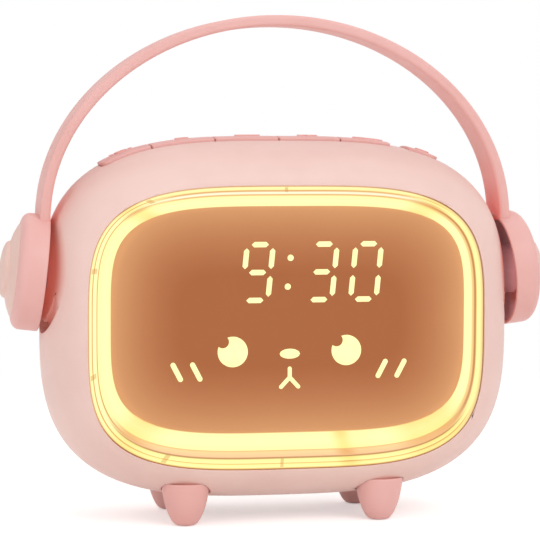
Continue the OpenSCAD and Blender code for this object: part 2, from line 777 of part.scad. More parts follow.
// The socket's flat oval, between two planes
module socket_shape(grow, y0, y1) {
    side = [(usb_w - usb_h) / 2, 0];
    translate([0, 0, usb_z]) capsule(-side, side, usb_h + 2 * grow, y0, y1);
}

module usb_socket() color(steel) {
    mouth_y = half_d - 0.6;
    difference() {
        socket_shape(0, mouth_y - usb_d, mouth_y);
        socket_shape(-0.35, mouth_y - usb_d + 1, mouth_y + 1);
    }
    block([-2.6, mouth_y - usb_d + 0.5, usb_z - 0.35], [2.6, mouth_y - 0.8, usb_z + 0.35]);
}

// ---- Feet ----

module foot() color(trim_pink) difference() {
    rotate_extrude() polygon([[0, 0], [foot_tip_r, 0], [foot_tip_r + 1.2, 0.5], [foot_tip_r + 2.2, 1.6],
        [foot_tip_r + 3.1, 3], [foot_r - 1.45, 4.8], [foot_r - 0.9, 7], [foot_r - 0.4, 9.4],
        [foot_r, 12], [foot_r, foot_seat], [0, foot_seat]]);
    translate([0, 0, foot_seat - 6]) cylinder(r = foot_screw_r + running, h = 7);
}

module foot_front_left() translate([-foot_x, -foot_y, 0]) foot();
module foot_front_right() translate([foot_x, -foot_y, 0]) foot();
module foot_rear_left() translate([-foot_x, foot_y, 0]) foot();
module foot_rear_right() translate([foot_x, foot_y, 0]) foot();

module foot_screws() color(steel) foot_places() translate([0, 0, foot_seat + foot_pad_t]) {
    translate([0, 0, -foot_pad_t - 5]) cylinder(r = foot_screw_r, h = foot_pad_t + 5 + eps);
    difference() {
        cylinder(r = small_head, h = head_t);
        for (turn = [0, 90]) rotate([0, 0, turn])
            block([-1.2, -0.25, head_t / 2], [1.2, 0.25, head_t + 1]);
    }
}

// ---- Handle ----

module friction_washers() color(part_black) both_sides() difference() {
    x_rod(hub_r - 0.1, seat_x + eps, seat_x + washer_t);
    x_rod(axle_r + 0.1, seat_x - 1, hub_x + 1);
}

module pivot_washers() color(steel) both_sides() difference() {
    x_rod(pivot_washer_r, axle_end - pivot_washer_t, axle_end);
    x_rod(pivot_screw_r + running, axle_end - 5, axle_end + 1);
}

module pivot_screws() color(steel) both_sides() {
    x_rod(pivot_screw_r, axle_end - pivot_washer_t - eps, axle_end + 8);
    difference() {
        x_rod(pivot_head_r, axle_end - pivot_washer_t - 1.8, axle_end - pivot_washer_t);
        for (turn = [0, 90]) translate([0, -pivot_front, pivot_z]) rotate([turn, 0, 0])
            block([axle_end - 5, -1.8, -0.3], [axle_end - pivot_washer_t - 0.9, 1.8, 0.3]);
    }
}

// The arch's outline, in from its outer curve by inset
function arch(inset) = [for (i = [0:arch_steps])
    let (a = band_w / 2 - inset, b = arch_h - inset, low = asin(min(0.9, (band_end - arch_z) / a)),
        t = low + (180 - 2 * low) * i / arch_steps, r = outline_r(a, b, arch_power, t))
    [r * cos(t), r * sin(t)]];

module band_solid(grow, deeper = 0) {
    inner = arch(band_t + grow + deeper);
    translate([0, band_d / 2 + grow - pivot_front, arch_z]) rotate([90, 0, 0])
        linear_extrude(band_d + 2 * grow)
        polygon(concat(arch(-grow), [for (i = [arch_steps:-1:0]) inner[i]]));
}

module handle_band() color(trim_pink) band_solid(0);

// Places a turned shape, +Z out, on the right-hand cup's tilted axis
module cup_axis() translate([rim_x, -pivot_front, pivot_z]) rotate([0, 0, cup_toe])
    rotate([0, 90 - cup_splay, 0]) children();

module cup_right() color(trim_pink) difference() {
    union() {
        cup_axis() rotate_extrude() polygon(concat([[0, cup_depth - cap_seat], [0, cup_recess]],
            [for (i = [len(cup_dish) - 1:-1:0]) cup_dish[i]],
            [[cup_r - 0.4, 0], [cup_r, 0.4], [cup_r, cup_depth - 2.6], [cup_r - 0.3, cup_depth - 1.4],
            [cup_r - 1, cup_depth - 0.6], [cup_r - 2, cup_depth - 0.15], [cap_r + 0.1, cup_depth],
            [cap_r + 0.1, cup_depth - cap_seat]]));
        x_rod(hub_r, hub_x, rim_x + cup_recess + 0.8);
        x_rod(axle_r, axle_end, rim_x + cup_recess + 0.8);
    }
    x_rod(pivot_screw_r + running, axle_end - 1, axle_end + 8.5);
    band_solid(running, 3);
}

module cap_right() color(cap_pink) cup_axis() rotate_extrude() polygon([[0, cup_depth - cap_seat + eps],
    [cap_r, cup_depth - cap_seat + eps], [cap_r, cup_depth], [cap_r - 0.9, cup_depth + 0.7],
    [cap_r - 2.8, cup_depth + 1.5], [cap_boss_r + 0.3, cup_depth + 2.2], [cap_boss_r, cup_depth + 3],
    [cap_boss_r - 0.7, cup_depth + 3.6], [cap_boss_r - 2.4, cup_depth + 4.2],
    [cap_boss_r - 5, cup_depth + 4.6], [0, cup_depth + 4.8]]);

module ear_cup_right() cup_right();
module ear_cup_left() mirror([1, 0, 0]) cup_right();
module ear_cap_right() cap_right();
module ear_cap_left() mirror([1, 0, 0]) cap_right();

front_shell();
rear_cover();
light_ring();
display_window();
segment_lights();
display_board();
ring_board();
ring_leds();
inner_frame();
frame_screws();
circuit_board();
board_chips();
coin_holder();
coin_cell();
key_frame();
key_board();
tact_switches();
key_light();
key_mode();
key_down();
key_up();
key_snooze();
key_power();
speaker_gasket();
speaker_frame();
speaker_cone();
speaker_magnet();
battery_pack();
battery_clip();
clip_screws();
usb_board();
usb_socket();
cover_screws();
foot_front_left();
foot_front_right();
foot_rear_left();
foot_rear_right();
foot_screws();
friction_washers();
pivot_washers();
pivot_screws();
handle_band();
ear_cup_left();
ear_cup_right();
ear_cap_left();
ear_cap_right();
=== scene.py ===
import contextlib
import json
import math

import bmesh
import bpy
from mathutils import Matrix, Vector


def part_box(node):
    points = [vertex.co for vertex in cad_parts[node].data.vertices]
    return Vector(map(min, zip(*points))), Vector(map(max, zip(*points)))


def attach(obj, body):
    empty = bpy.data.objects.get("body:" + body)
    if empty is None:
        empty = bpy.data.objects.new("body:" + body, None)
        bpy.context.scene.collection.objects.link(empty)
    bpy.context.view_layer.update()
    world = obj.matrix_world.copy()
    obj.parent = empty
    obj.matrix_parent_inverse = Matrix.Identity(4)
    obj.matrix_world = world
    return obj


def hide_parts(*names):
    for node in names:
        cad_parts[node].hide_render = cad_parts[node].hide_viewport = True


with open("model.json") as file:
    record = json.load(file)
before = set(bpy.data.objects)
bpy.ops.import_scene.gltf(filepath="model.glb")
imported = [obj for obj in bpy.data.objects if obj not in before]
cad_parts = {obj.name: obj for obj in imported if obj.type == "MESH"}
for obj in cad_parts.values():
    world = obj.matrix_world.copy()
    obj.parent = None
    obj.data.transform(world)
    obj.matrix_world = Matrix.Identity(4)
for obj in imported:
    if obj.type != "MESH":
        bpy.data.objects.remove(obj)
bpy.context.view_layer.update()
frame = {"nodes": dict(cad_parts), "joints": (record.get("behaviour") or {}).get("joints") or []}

bl_info = {
    "name": "Bedside Clock Maker",
    "version": (1, 0, 0),
    "blender": (4, 5, 0),
    "location": "View3D > Sidebar > Clock",
    "description": "Models and finishes a bedside clock with a night-light ring and a carry handle",
    "category": "Object",
}

# Places that the fixed frame gives, in metres
SHELL_LOW, SHELL_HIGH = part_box("front_shell")
HALF_WIDTH = SHELL_HIGH.x
HALF_HEIGHT = (SHELL_HIGH.z - SHELL_LOW.z) / 2
MIDDLE = (SHELL_HIGH.z + SHELL_LOW.z) / 2
HALF_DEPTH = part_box("rear_cover")[1].y
SEAM = SHELL_HIGH.y
RING_LOW, RING_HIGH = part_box("light_ring")
WINDOW_LOW, WINDOW_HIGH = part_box("display_window")
WINDOW_RISE = (WINDOW_LOW.z + WINDOW_HIGH.z) / 2
PIVOT = Vector(frame["joints"][0]["pos_m"])

# Keys from the left: name, the two ends along the housing in millimetres, the raised sign
KEYS = [
    ("light", -53.3, -38.65, "lamp"),
    ("mode", -38.35, -19.55, "dash"),
    ("down", -19.25, -0.05, "minus"),
    ("up", 0.25, 18.95, "plus"),
    ("snooze", 19.25, 34.6, "bar"),
    ("power", 40.2, 49.8, "power"),
]


def mm(value):
    """Millimetres as metres."""
    return value * 0.001


# Small fixed sizes
HAIR = 1e-7  # Two places closer than this are the same
QUARTER = math.radians(90)
SEAM_ANGLE = math.degrees(math.asin(-SEAM / HALF_DEPTH))  # Where the shells meet on the housing's profile
OVERCUT = mm(1)  # How far a cutting tool stands out of what it cuts
SAME_POINT, SLIVER, FLAT_FACE = mm(0.001), mm(0.05), mm(0.02)  # Below these, points merge and faces go
COLLAR_DEPTH, COLLAR_WALL = mm(7.2), mm(2)  # The wall round the ring's opening
PAD_WALL, PAD_DEPTH = mm(2.4), mm(4.5)  # The walls behind the cups
HUB_BORE, AXLE_BORE, AXLE_REACH = mm(8), mm(4.05), mm(6)
FOOT_BORE, FOOT_BORE_TOP = mm(7.3), mm(13)  # The feet's sockets in the shells
FOOT_PAD, FOOT_PAD_TOP = mm(9.1), mm(15.2)  # The walls round them
POST, POST_DEPTH = mm(4.6), mm(5.5)  # The walls round the cover's screws
WELL, WELL_DEPTH = mm(3.1), mm(3.1)  # The wells of their heads
SCREW_BORE, SCREW_DEPTH = mm(1.6), mm(6.5)
GRILLE_LAPS, GRILLE_PITCH, GRILLE_HOLE = 4, mm(4.1), mm(0.9)
PINHOLE_PLACE, PINHOLE = mm(12.5), mm(0.8)
SOCKET_END, SOCKET_SPREAD = mm(1.95), mm(2.85)  # The socket opening's two ends: radius and distance out
FULL_DRAW = mm(45)  # From here to the right, the ring's outline is drawn in by its full inset
SIGN_ROOT, SIGN_EDGE = mm(0.2), mm(0.12)  # How far a raised sign reaches into its key, and its rounding


def size(name, description, default):
    """A length that a user may change, given in millimetres."""
    return bpy.props.FloatProperty(name=name, description=description, default=mm(default), unit="LENGTH")


def amount(name, description, default):
    """A plain number that a user may change."""
    return bpy.props.FloatProperty(name=name, description=description, default=default)


def turn(name, description, default):
    """An angle that a user may change, given in degrees."""
    angle = math.radians(default)
    return bpy.props.FloatProperty(name=name, description=description, default=angle, unit="ROTATION")


def colour(name, description, red, green, blue):
    """A colour that a user may change, given as it looks on a screen."""
    shade = tint(red, green, blue)[:3]
    return bpy.props.FloatVectorProperty(
        name=name, description=description, subtype="COLOR", size=3, min=0, max=1, default=shade
    )


def tint(red, green, blue):
    """A screen colour of 0 to 255 as the linear colour that a shader takes."""
    parts = [part / 255 for part in (red, green, blue)]
    return tuple(p / 12.92 if p <= 0.04045 else ((p + 0.055) / 1.055) ** 2.4 for p in parts) + (1,)


class HousingSizes(bpy.types.PropertyGroup):
    edge_round: size("Edge round", "How far the front and back edges round in", 14)
    wall: size("Wall", "Thickness of the shells", 2.4)
    power: amount("Squareness", "Squareness of the outline, where 2 is an ellipse", 3.2)
    clearance: size("Clearance", "Gap between the shell and the pieces set into it", 0.15)
    edge_break: size("Edge break", "Rounding of the cut edges", 0.3)
    seat_radius: size("Cup path", "Radius of the paths that the cups take in the sides", 17.8)
    seat_face: size("Seat face", "Distance from the middle to the hubs' seats", 67.78)
    foot_spread: size("Foot spread", "Distance from the middle to a foot, sideways", 29.65)
    foot_stance: size("Foot stance", "Distance from the middle to a foot, front to back", 14.6)
    screw_spread: size("Screw spread", "Distance from the middle to a cover screw, sideways", 42)
    screw_rise: size("Screw rise", "Distance from the middle to a cover screw, upwards", 26)
    speaker_rise: size("Speaker rise", "Height of the speaker over the housing's middle", 15)
    socket_height: size("Socket height", "Height of the charging socket over the table", 27.1)


class RingSizes(bpy.types.PropertyGroup):
    power: amount("Squareness", "Squareness of the ring's outline", 3.7)
    window_power: amount("Window squareness", "Squareness of the window's outline", 4.1)
    flange: size("Flange", "Width of the flange behind the opening", 1.4)
    groove: amount("Groove place", "Place of the groove, 0 at the outer edge and 1 at the window", 0.16)
    step_from: amount("Step start", "Where the step down to the inner band starts", 0.34)
    step_to: amount("Step end", "Where the step down to the inner band ends", 0.48)
    ledge: size("Ledge", "Width of the ledge that the window rests on", 1.5)
    right_inset: size("Right inset", "How far the right-hand end of the outline is drawn in", 0.8)


class KeySizes(bpy.types.PropertyGroup):
    depth: size("Depth", "Size of a key, front to back", 13)
    proud: size("Proud", "How far a key stands out of the housing", 0.8)
    skirt: size("Skirt", "How far a key reaches into the housing", 4.15)
    end_corner: size("End corner", "Corner radius at the ends of the row", 2.6)
    corner: size("Corner", "Corner radius between two keys", 0.5)
    edge: size("Edge", "Rounding of a key's upper edges", 0.35)
    sign_height: size("Sign height", "Height of the raised signs", 0.4)
    slot_gap: size("Slot gap", "Gap between the keys and their slot", 0.25)


class HandleSizes(bpy.types.PropertyGroup):
    thickness: size("Thickness", "Thickness of the band", 3.25)
    depth: size("Depth", "Size of the band, front to back", 15)
    half_width: size("Half width", "Distance from the middle to the band's outer face", 72.1)
    arch: size("Arch", "Height of the arch from where it springs", 61)
    spring: size("Spring", "Height at which the arch springs", 90.55)
    power: amount("Squareness", "Squareness of the arch", 2)
    edge: size("Edge", "Rounding of the band's edges", 1.1)
    end: size("End", "Height of the band's ends", 89.6)


class CupSizes(bpy.types.PropertyGroup):
    rim: size("Rim place", "Distance from the middle to the cups' rims", 70.3)
    splay: turn("Splay", "How far the cups face up", 6.5)
    toe: turn("Toe", "How far the cups face back", 3)
    radius: size("Radius", "Radius of a cup", 17.4)
    depth: size("Depth", "Depth of a cup's body", 8.4)
    cap: size("Cap", "Radius of the cap", 14)
    boss: size("Boss", "Radius of the cap's raised boss", 8.4)
    hub: size("Hub", "Radius of the hub", 7.5)
    axle: size("Axle", "Radius of the axle", 4)


class FinishColours(bpy.types.PropertyGroup):
    shell: colour("Shell", "Housing plastic", 244, 210, 201)
    shell_shade: colour("Shell clouding", "Second tone of the housing plastic", 241, 205, 196)
    # Painted shade: the housing plastic darkened and reddened close to the cups, where shade falls between
    # cup and housing
    painted_shade: colour("Blush", "Housing plastic close to the cups", 214, 128, 112)
    trim: colour("Trim", "Plastic of the handle, cups, keys and feet", 240, 186, 180)
    trim_shade: colour("Trim clouding", "Second tone of the trim plastic", 237, 181, 174)
    # Painted shade: the trim plastic darkened in the cups' hollow backs, where shade falls
    dish: colour("Dish", "Trim plastic in the cups' hollow backs", 178, 142, 145)
    cap: colour("Cap", "Plastic of the caps", 240, 204, 193)
    cap_shade: colour("Cap clouding", "Second tone of the cap plastic", 236, 198, 187)
    glow_corner: colour("Corner glow", "Light of the ring in its corners", 250, 228, 125)
    window_middle: colour("Window middle", "Display window at its middle", 170, 101, 59)
    window_edge: colour("Window edge", "Display window at its edge", 222, 160, 109)
    marks: colour("Marks", "Lit digits and face", 250, 250, 182)


# ---- Modelling steps ----


def pick(*pieces):
    """Selects these pieces and nothing else, and makes the first one active."""
    if bpy.context.object and bpy.context.object.mode != "OBJECT":
        bpy.ops.object.mode_set(mode="OBJECT")
    bpy.ops.object.select_all(action="DESELECT")
    for piece in pieces:
        piece.select_set(True)
    bpy.context.view_layer.objects.active = pieces[0]


def begin(name):
    """Names the primitive that was just added."""
    piece = bpy.context.object
    piece.name = piece.data.name = name
    return piece


@contextlib.contextmanager
def edit_mode(piece):
    """Edit mode on one piece, and back out of it."""
    pick(piece)
    bpy.ops.object.mode_set(mode="EDIT")
    yield
    bpy.ops.object.mode_set(mode="OBJECT")


def tidy_faces(piece):
    """Merges double points and turns all faces outwards."""
    with edit_mode(piece):
        bpy.ops.mesh.select_all(action="SELECT")
        bpy.ops.mesh.remove_doubles(threshold=SAME_POINT)
        bpy.ops.mesh.normals_make_consistent(inside=False)


def settle(piece, angles=(0, 0, 0), place=(0, 0, 0)):
    """Turns and moves a piece, and puts its place into its mesh."""
    piece.rotation_euler, piece.location = angles, place
    pick(piece)
    bpy.ops.object.transform_apply(location=True, rotation=True, scale=True)
    return piece


def squared(x, y, power):
    """A place moved straight out from the middle, onto an outline of some squareness."""
    reach = (abs(x) ** power + abs(y) ** power) ** (-1 / power)
    return x * reach, y * reach


def loft(name, stations, power=2, around=96, tip=False, hollow=False, powers=()):
    """Squares a circle to an outline and extrudes it from station to station.

    A station is its depth, half width, half height and rise. A tip closes the last one to a point,
    a hollow piece has its last station on its first, and each station may have its own squareness."""
    bpy.ops.object.select_all(action="DESELECT")
    bpy.ops.mesh.primitive_circle_add(vertices=around, radius=1, fill_type="NOTHING")
    piece = begin(name)
    depth, wide, high, rise = stations[0]
    for vertex in piece.data.vertices:
        x, y = squared(vertex.co.x, vertex.co.y, power)
        vertex.co = (x * wide, y * high + rise, depth)
    bpy.ops.object.mode_set(mode="EDIT")
    bpy.ops.mesh.select_all(action="SELECT")
    for last, station in zip(stations, stations[1:]):
        depth, wide, high, rise = station
        step = (0, rise - last[3], depth - last[0])
        bpy.ops.mesh.extrude_region_move(TRANSFORM_OT_translate={"value": step})
        growth = (wide / last[1], high / last[2], 1)
        bpy.ops.transform.resize(value=growth, center_override=(0, rise, depth))
    if tip:
        bpy.ops.mesh.merge(type="CENTER")
    bpy.ops.mesh.select_all(action="SELECT")
    if not hollow:
        bpy.ops.mesh.fill_holes(sides=0)
    bpy.ops.object.mode_set(mode="OBJECT")
    for k, (station, own) in enumerate(zip(stations, powers)):
        depth, wide, high, rise = station
        for vertex in piece.data.vertices[k * around : (k + 1) * around]:
            if abs(vertex.co.z - depth) > 1e-6:
                raise RuntimeError("a station of " + name + " is out of order")
            x, y = squared(vertex.co.x / wide, (vertex.co.y - rise) / high, own)
            vertex.co = (x * wide, y * high + rise, depth)
    tidy_faces(piece)
    return piece


def turned(name, profile, around=96, tip=False):
    """A round piece along +Z from a profile of radius and height in millimetres."""
    return loft(name, [(mm(u), mm(r), mm(r), 0) for r, u in profile], 2, around, tip)


def rod(name, radius, start, end, place, axis="Z", around=64):
    """A round tool along an axis through a place."""
    angles = {"X": (0, QUARTER, 0), "Y": (-QUARTER, 0, 0), "Z": (0, 0, 0)}[axis]
    piece = loft(name, [(start, radius, radius, 0), (end, radius, radius, 0)], 2, around)
    return settle(piece, angles, place)


def modify(piece, kind, **settings):
    """Applies a modifier to a piece."""
    step = piece.modifiers.new("step", kind)
    for key, value in settings.items():
        setattr(step, key, value)
    pick(piece)
    bpy.ops.object.modifier_apply(modifier=step.name)


def combine(piece, tool, operation):
    """Joins a tool to a piece or cuts it away, and removes the tool."""
    modify(piece, "BOOLEAN", operation=operation, solver="EXACT", object=tool)
    bpy.data.objects.remove(tool)
    if not piece.data.polygons:
        raise RuntimeError("nothing is left of " + piece.name)


def cut(piece, *tools):
    """Cuts tools away from a piece, one after the other."""
    for tool in tools:
        combine(piece, tool, "DIFFERENCE")


def together(*pieces):
    """Joins separate tools into one object."""
    pick(*pieces)
    bpy.ops.object.join()
    return pieces[0]


def rods(places, radius, start, end, axis="Y", around=64):
    """Round tools through several places, as one object."""
    return together(*[rod("rod", radius, start, end, place, axis, around) for place in places])


def on_both_sides(tool):
    """A right-hand tool together with its left-hand copy."""
    return together(tool, mirrored(tool, tool.name + "_left"))


def merge_slivers(piece):
    """Merges points that lie so close that rounding the edges between them would fold over."""
    with edit_mode(piece):
        bpy.ops.mesh.select_all(action="SELECT")
        bpy.ops.mesh.remove_doubles(threshold=SLIVER)
        bpy.ops.mesh.dissolve_degenerate(threshold=FLAT_FACE)


def break_edges(piece, width, segments=2, angle=40):
    """Rounds every edge that is sharper than an angle."""
    limit = {"limit_method": "ANGLE", "angle_limit": math.radians(angle), "use_clamp_overlap": False}
    modify(piece, "BEVEL", width=width, segments=segments, **limit)


def smooth(piece, angle=35):
    """Shades a piece smooth up to an angle, with flat faces kept flat."""
    pick(piece)
    bpy.ops.object.shade_smooth_by_angle(angle=math.radians(angle))
    modify(piece, "WEIGHTED_NORMAL", keep_sharp=True)


def mirrored(piece, name):
    """A left-hand copy of a right-hand piece, with a mesh of its own."""
    pick(piece)
    bpy.ops.object.duplicate()
    copy = begin(name)
    copy.scale.x = -1
    settle(copy)
    tidy_faces(copy)
    return copy


def curve_value(t, p, q, r, s):
    """A value on the smooth curve from q to r, with p before them and s after them."""
    return 0.5 * (2 * q + (r - p) * t + (2 * p - 5 * q + 4 * r - s) * t**2 + (3 * q - p - 3 * r + s) * t**3)


def eased(points, between=4):
    """A smooth line of points through the given ones."""
    line = []
    for k in range(len(points) - 1):
        around = [points[min(max(j, 0), len(points) - 1)] for j in (k - 1, k, k + 1, k + 2)]
        for i in range(between):
            t = i / between
            line.append(tuple(curve_value(t, *values) for values in zip(*around)))
    return line + [points[-1]]


def finish_pair(piece, node, material, angle):
    """Smooths a right-hand piece of the handle, makes its left-hand copy and finishes both."""
    smooth(piece, angle)
    other = mirrored(piece, node + "_left_body")
    smooth(other, angle)
    for each, side in ((piece, "right"), (other, "left")):
        finish(each, node + "_" + side, "handle", material)


def finish(piece, node, body, material):
    """Gives a piece its finish, hides the node it stands for, and lets it ride on its body."""
    piece.data.materials.clear()
    piece.data.materials.append(material)
    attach(piece, body)
    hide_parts(node)


# ---- Housing ----


def face_front(piece, rise):
    """Turns a loft from +Z to the front, at a height over the table."""
    return settle(piece, (QUARTER, 0, 0), (0, 0, rise))


def skin(name, sizes, depth, start, end, count, around):
    """A solid this deep inside the housing's outer face, between two angles of its rounded profile."""
    stations = []
    for k in range(count + 1):
        angle = math.radians(start + (end - start) * k / count)
        inset = depth + sizes.edge_round * (1 - math.cos(angle))
        y = (HALF_DEPTH - depth) * math.sin(angle)
        stations.append((y, HALF_WIDTH - inset, HALF_HEIGHT - inset, 0))
    return face_front(loft(name, stations, sizes.power, around), MIDDLE)


def ring_prism(name, grow, front, back, sizes):
    """A straight prism with the ring's outline."""
    wide = RING_HIGH.x - sizes.flange + grow
    high = (RING_HIGH.z - RING_LOW.z) / 2 - sizes.flange + grow
    prism = loft(name, [(-front, wide, high, 0), (-back, wide, high, 0)], sizes.power, 192)
    return draw_in(face_front(prism, (RING_HIGH.z + RING_LOW.z) / 2), sizes)


def draw_in(piece, sizes):
    """Draws the right-hand end of the ring's outer outline in, and less so towards the window."""
    for vertex in piece.data.vertices:
        x = vertex.co.x
        if x > 0:
            share = 1 - min(max(band_place(x, vertex.co.z, sizes), 0), 1)
            vertex.co.x = x - sizes.right_inset * share * min(x / FULL_DRAW, 1)
    piece.data.update()
    return piece


def foot_places(sizes):
    """Where the four feet stand: left or right, front or rear."""
    for side, side_name in ((-1, "left"), (1, "right")):
        for end, end_name in ((-1, "front"), (1, "rear")):
            yield side * sizes.foot_spread, end * sizes.foot_stance, end_name + "_" + side_name


def foot_tools(sizes, radius, top):
    """Round tools at the four feet."""
    return rods([(x, y, 0) for x, y, _ in foot_places(sizes)], radius, -OVERCUT, top, "Z")


def top_frame(x, sizes):
    """Height of the housing's top over its middle at x, and the outward direction there."""
    power, share = sizes.power, abs(x) / HALF_WIDTH
    z = HALF_HEIGHT * (1 - share**power) ** (1 / power)
    across = math.copysign(share ** (power - 1) / HALF_WIDTH, x)
    return z, Vector((across, 0, (z / HALF_HEIGHT) ** (power - 1) / HALF_HEIGHT)).normalized()


def wrap_over_top(piece, sizes):
    """Bends a flat piece over the housing's top: its height becomes the height over the surface."""
    for vertex in piece.data.vertices:
        x, y, height = vertex.co
        height -= sizes.edge_round * (1 - math.sqrt(1 - (y / HALF_DEPTH) ** 2))
        z, out = top_frame(x, sizes)
        vertex.co = Vector((x, y, MIDDLE + z)) + out * height
    piece.data.update()


def bevel_where(piece, wanted, offset, segments):
    """Bevels the edges whose two ends pass a test."""
    with edit_mode(piece):
        bpy.ops.mesh.select_mode(type="EDGE")
        mesh = bmesh.from_edit_mesh(piece.data)
        for edge in mesh.edges:
            edge.select_set(False)
        for edge in mesh.edges:
            if wanted(edge.verts[0].co, edge.verts[1].co):
                edge.select_set(True)
        bmesh.update_edit_mesh(piece.data)
        bpy.ops.mesh.bevel(offset=offset, segments=segments, affect="EDGES")
        bpy.ops.mesh.select_mode(type="VERT")


def upright_at(x, a, b):
    """Whether an edge from a to b stands upright at x."""
    return max(abs(a.x - x), abs(b.x - x), abs(a.y - b.y)) < HAIR


def block(name, low, high, corners=(0, 0), edge=0, slices=(0, 0)):
    """A box with rounded upright corners at its two ends and eased upper edges, sliced both ways."""
    bpy.ops.object.select_all(action="DESELECT")
    bpy.ops.mesh.primitive_cube_add(size=1, location=(Vector(low) + Vector(high)) / 2)
    piece = begin(name)
    piece.scale = Vector(high) - Vector(low)
    settle(piece, (0, 0, 0), piece.location)
    for end, corner in ((low[0], corners[0]), (high[0], corners[1])):
        if corner:
            bevel_where(piece, lambda a, b: upright_at(end, a, b), corner, 6)
    if edge:
        bevel_where(piece, lambda a, b: min(a.z, b.z) > high[2] - HAIR, edge, 3)
    with edit_mode(piece):
        for way, count in enumerate(slices):
            for k in range(1, count):
                place, normal = [0, 0, 0], [0, 0, 0]
                place[way], normal[way] = low[way] + (high[way] - low[way]) * k / count, 1
                bpy.ops.mesh.select_all(action="SELECT")
                bpy.ops.mesh.bisect(plane_co=place, plane_no=normal)
    tidy_faces(piece)
    return piece


def key_slots(housing, keys):
    """The two slots in the housing's top that the keys stand in."""
    gap, half = keys.slot_gap, keys.depth / 2 + keys.slot_gap
    slots = []
    for first, last, corner in ((KEYS[0], KEYS[4], keys.corner), (KEYS[5], KEYS[5], keys.end_corner)):
        low, high = (mm(first[1]) - gap, -half, -keys.skirt), (mm(last[2]) + gap, half, mm(5))
        slots.append(block("slot", low, high, (keys.end_corner + gap, corner + gap), slices=(60, 0)))
        wrap_over_top(slots[-1], housing)
    return together(*slots)


def seat_tools(radius, start, end):
    """Round tools at the pivots on both sides."""
    return on_both_sides(rod("seat", radius, start, end, (0, PIVOT.y, PIVOT.z), "X", 128))


def cup_paths(housing, cups):
    """Tools for the ways that the cups' rims and the band's ends take in the housing's sides."""
    lean = math.acos(math.cos(cups.splay) * math.cos(cups.toe))
    line = []  # Radius, and distance from the housing's middle
    for radius, rise in ((13, 2.9), (14.6, 1.9), (16.5, 0), (housing.seat_radius * 1000, 0)):
        line.append((mm(radius), cups.rim - mm(radius) * math.tan(lean) + mm(rise - 0.3)))
    line.insert(2, (mm(14.7), mm(68.55)))
    far = HALF_WIDTH + OVERCUT
    line += [(line[-1][0], far), (line[0][0], far), line[0]]
    path = loft("cup_path", [(depth, radius, radius, 0) for radius, depth in line], 2, 128, hollow=True)
    return on_both_sides(settle(path, (0, QUARTER, 0), (0, PIVOT.y, PIVOT.z)))


class CLOCK_OT_front_shell(bpy.types.Operator):
    """Models the front shell with its ring opening, key slots, cup seats and foot pockets"""

    bl_idname = "clock.front_shell"
    bl_label = "Front Shell"

    def execute(self, context):
        sizes, ring, keys = context.scene.clock_housing, context.scene.clock_ring, context.scene.clock_keys
        front, back = -HALF_DEPTH, RING_LOW.y + COLLAR_DEPTH
        seat = sizes.seat_face
        collar = ring_prism("collar", sizes.clearance + COLLAR_WALL, front, back, ring)
        pads = seat_tools(sizes.seat_radius + PAD_WALL, seat - PAD_DEPTH, HALF_WIDTH + mm(2))
        hollow = skin("hollow", sizes, sizes.wall, -80, 90, 24, 160)
        cut(hollow, collar, pads, foot_tools(sizes, FOOT_PAD, FOOT_PAD_TOP))
        shell = skin("front_shell_body", sizes, 0, SEAM_ANGLE, 90, 44, 256)
        cut(shell, hollow, ring_prism("opening", sizes.clearance, front - OVERCUT, back + mm(0.02), ring))
        cut(shell, cup_paths(sizes, context.scene.clock_cups))
        cut(shell, seat_tools(HUB_BORE, seat, HALF_WIDTH + OVERCUT))
        cut(shell, seat_tools(AXLE_BORE, seat - AXLE_REACH, HALF_WIDTH))
        cut(shell, foot_tools(sizes, FOOT_BORE, FOOT_BORE_TOP), key_slots(sizes, keys))
        merge_slivers(shell)
        break_edges(shell, sizes.edge_break)
        smooth(shell)
        finish(shell, "front_shell", "housing", plastic(context, "shell"))
        return {"FINISHED"}


class CLOCK_OT_rear_cover(bpy.types.Operator):
    """Models the rear cover with its grille, screw wells, socket opening and reset pinhole"""

    bl_idname = "clock.rear_cover"
    bl_label = "Rear Cover"

    def execute(self, context):
        sizes = context.scene.clock_housing
        cover = skin("rear_cover_body", sizes, 0, SEAM_ANGLE, -90, 16, 256)
        hollow = skin("hollow", sizes, sizes.wall, 80, -90, 24, 160)
        inner, outer = HALF_DEPTH - sizes.wall - OVERCUT, HALF_DEPTH + OVERCUT
        across, up = sizes.screw_spread, sizes.screw_rise
        corners = [(side * across, 0, MIDDLE + end * up) for side in (-1, 1) for end in (-1, 1)]
        posts = rods(corners, POST, HALF_DEPTH - POST_DEPTH, HALF_DEPTH)
        cut(hollow, posts, foot_tools(sizes, FOOT_PAD, FOOT_PAD_TOP))
        cut(cover, hollow, rods(corners, WELL, HALF_DEPTH - WELL_DEPTH, outer))
        cut(cover, rods(corners, SCREW_BORE, HALF_DEPTH - SCREW_DEPTH, outer, around=32))
        grille = []
        for lap in range(GRILLE_LAPS):
            for k in range(max(1, 6 * lap)):
                angle, reach = math.radians(k * 60 / lap) if lap else 0, GRILLE_PITCH * lap
                rise = MIDDLE + sizes.speaker_rise + reach * math.sin(angle)
                grille.append((reach * math.cos(angle), 0, rise))
        holes = rods(grille, GRILLE_HOLE, inner, outer, around=24)
        pinhole = rod("pinhole", PINHOLE, inner, outer, (PINHOLE_PLACE, 0, sizes.socket_height), "Y", 24)
        opening = loft("opening", [(y, SOCKET_END, SOCKET_END, 0) for y in (-outer, -inner)], 2, 64)
        for vertex in opening.data.vertices:
            vertex.co.x += math.copysign(SOCKET_SPREAD, vertex.co.x) if abs(vertex.co.x) > HAIR else 0
        cut(cover, together(holes, pinhole), face_front(opening, sizes.socket_height))
        cut(cover, foot_tools(sizes, FOOT_BORE, FOOT_BORE_TOP))
        break_edges(cover, sizes.edge_break)
        smooth(cover)
        finish(cover, "rear_cover", "housing", plastic(context, "shell"))
        return {"FINISHED"}


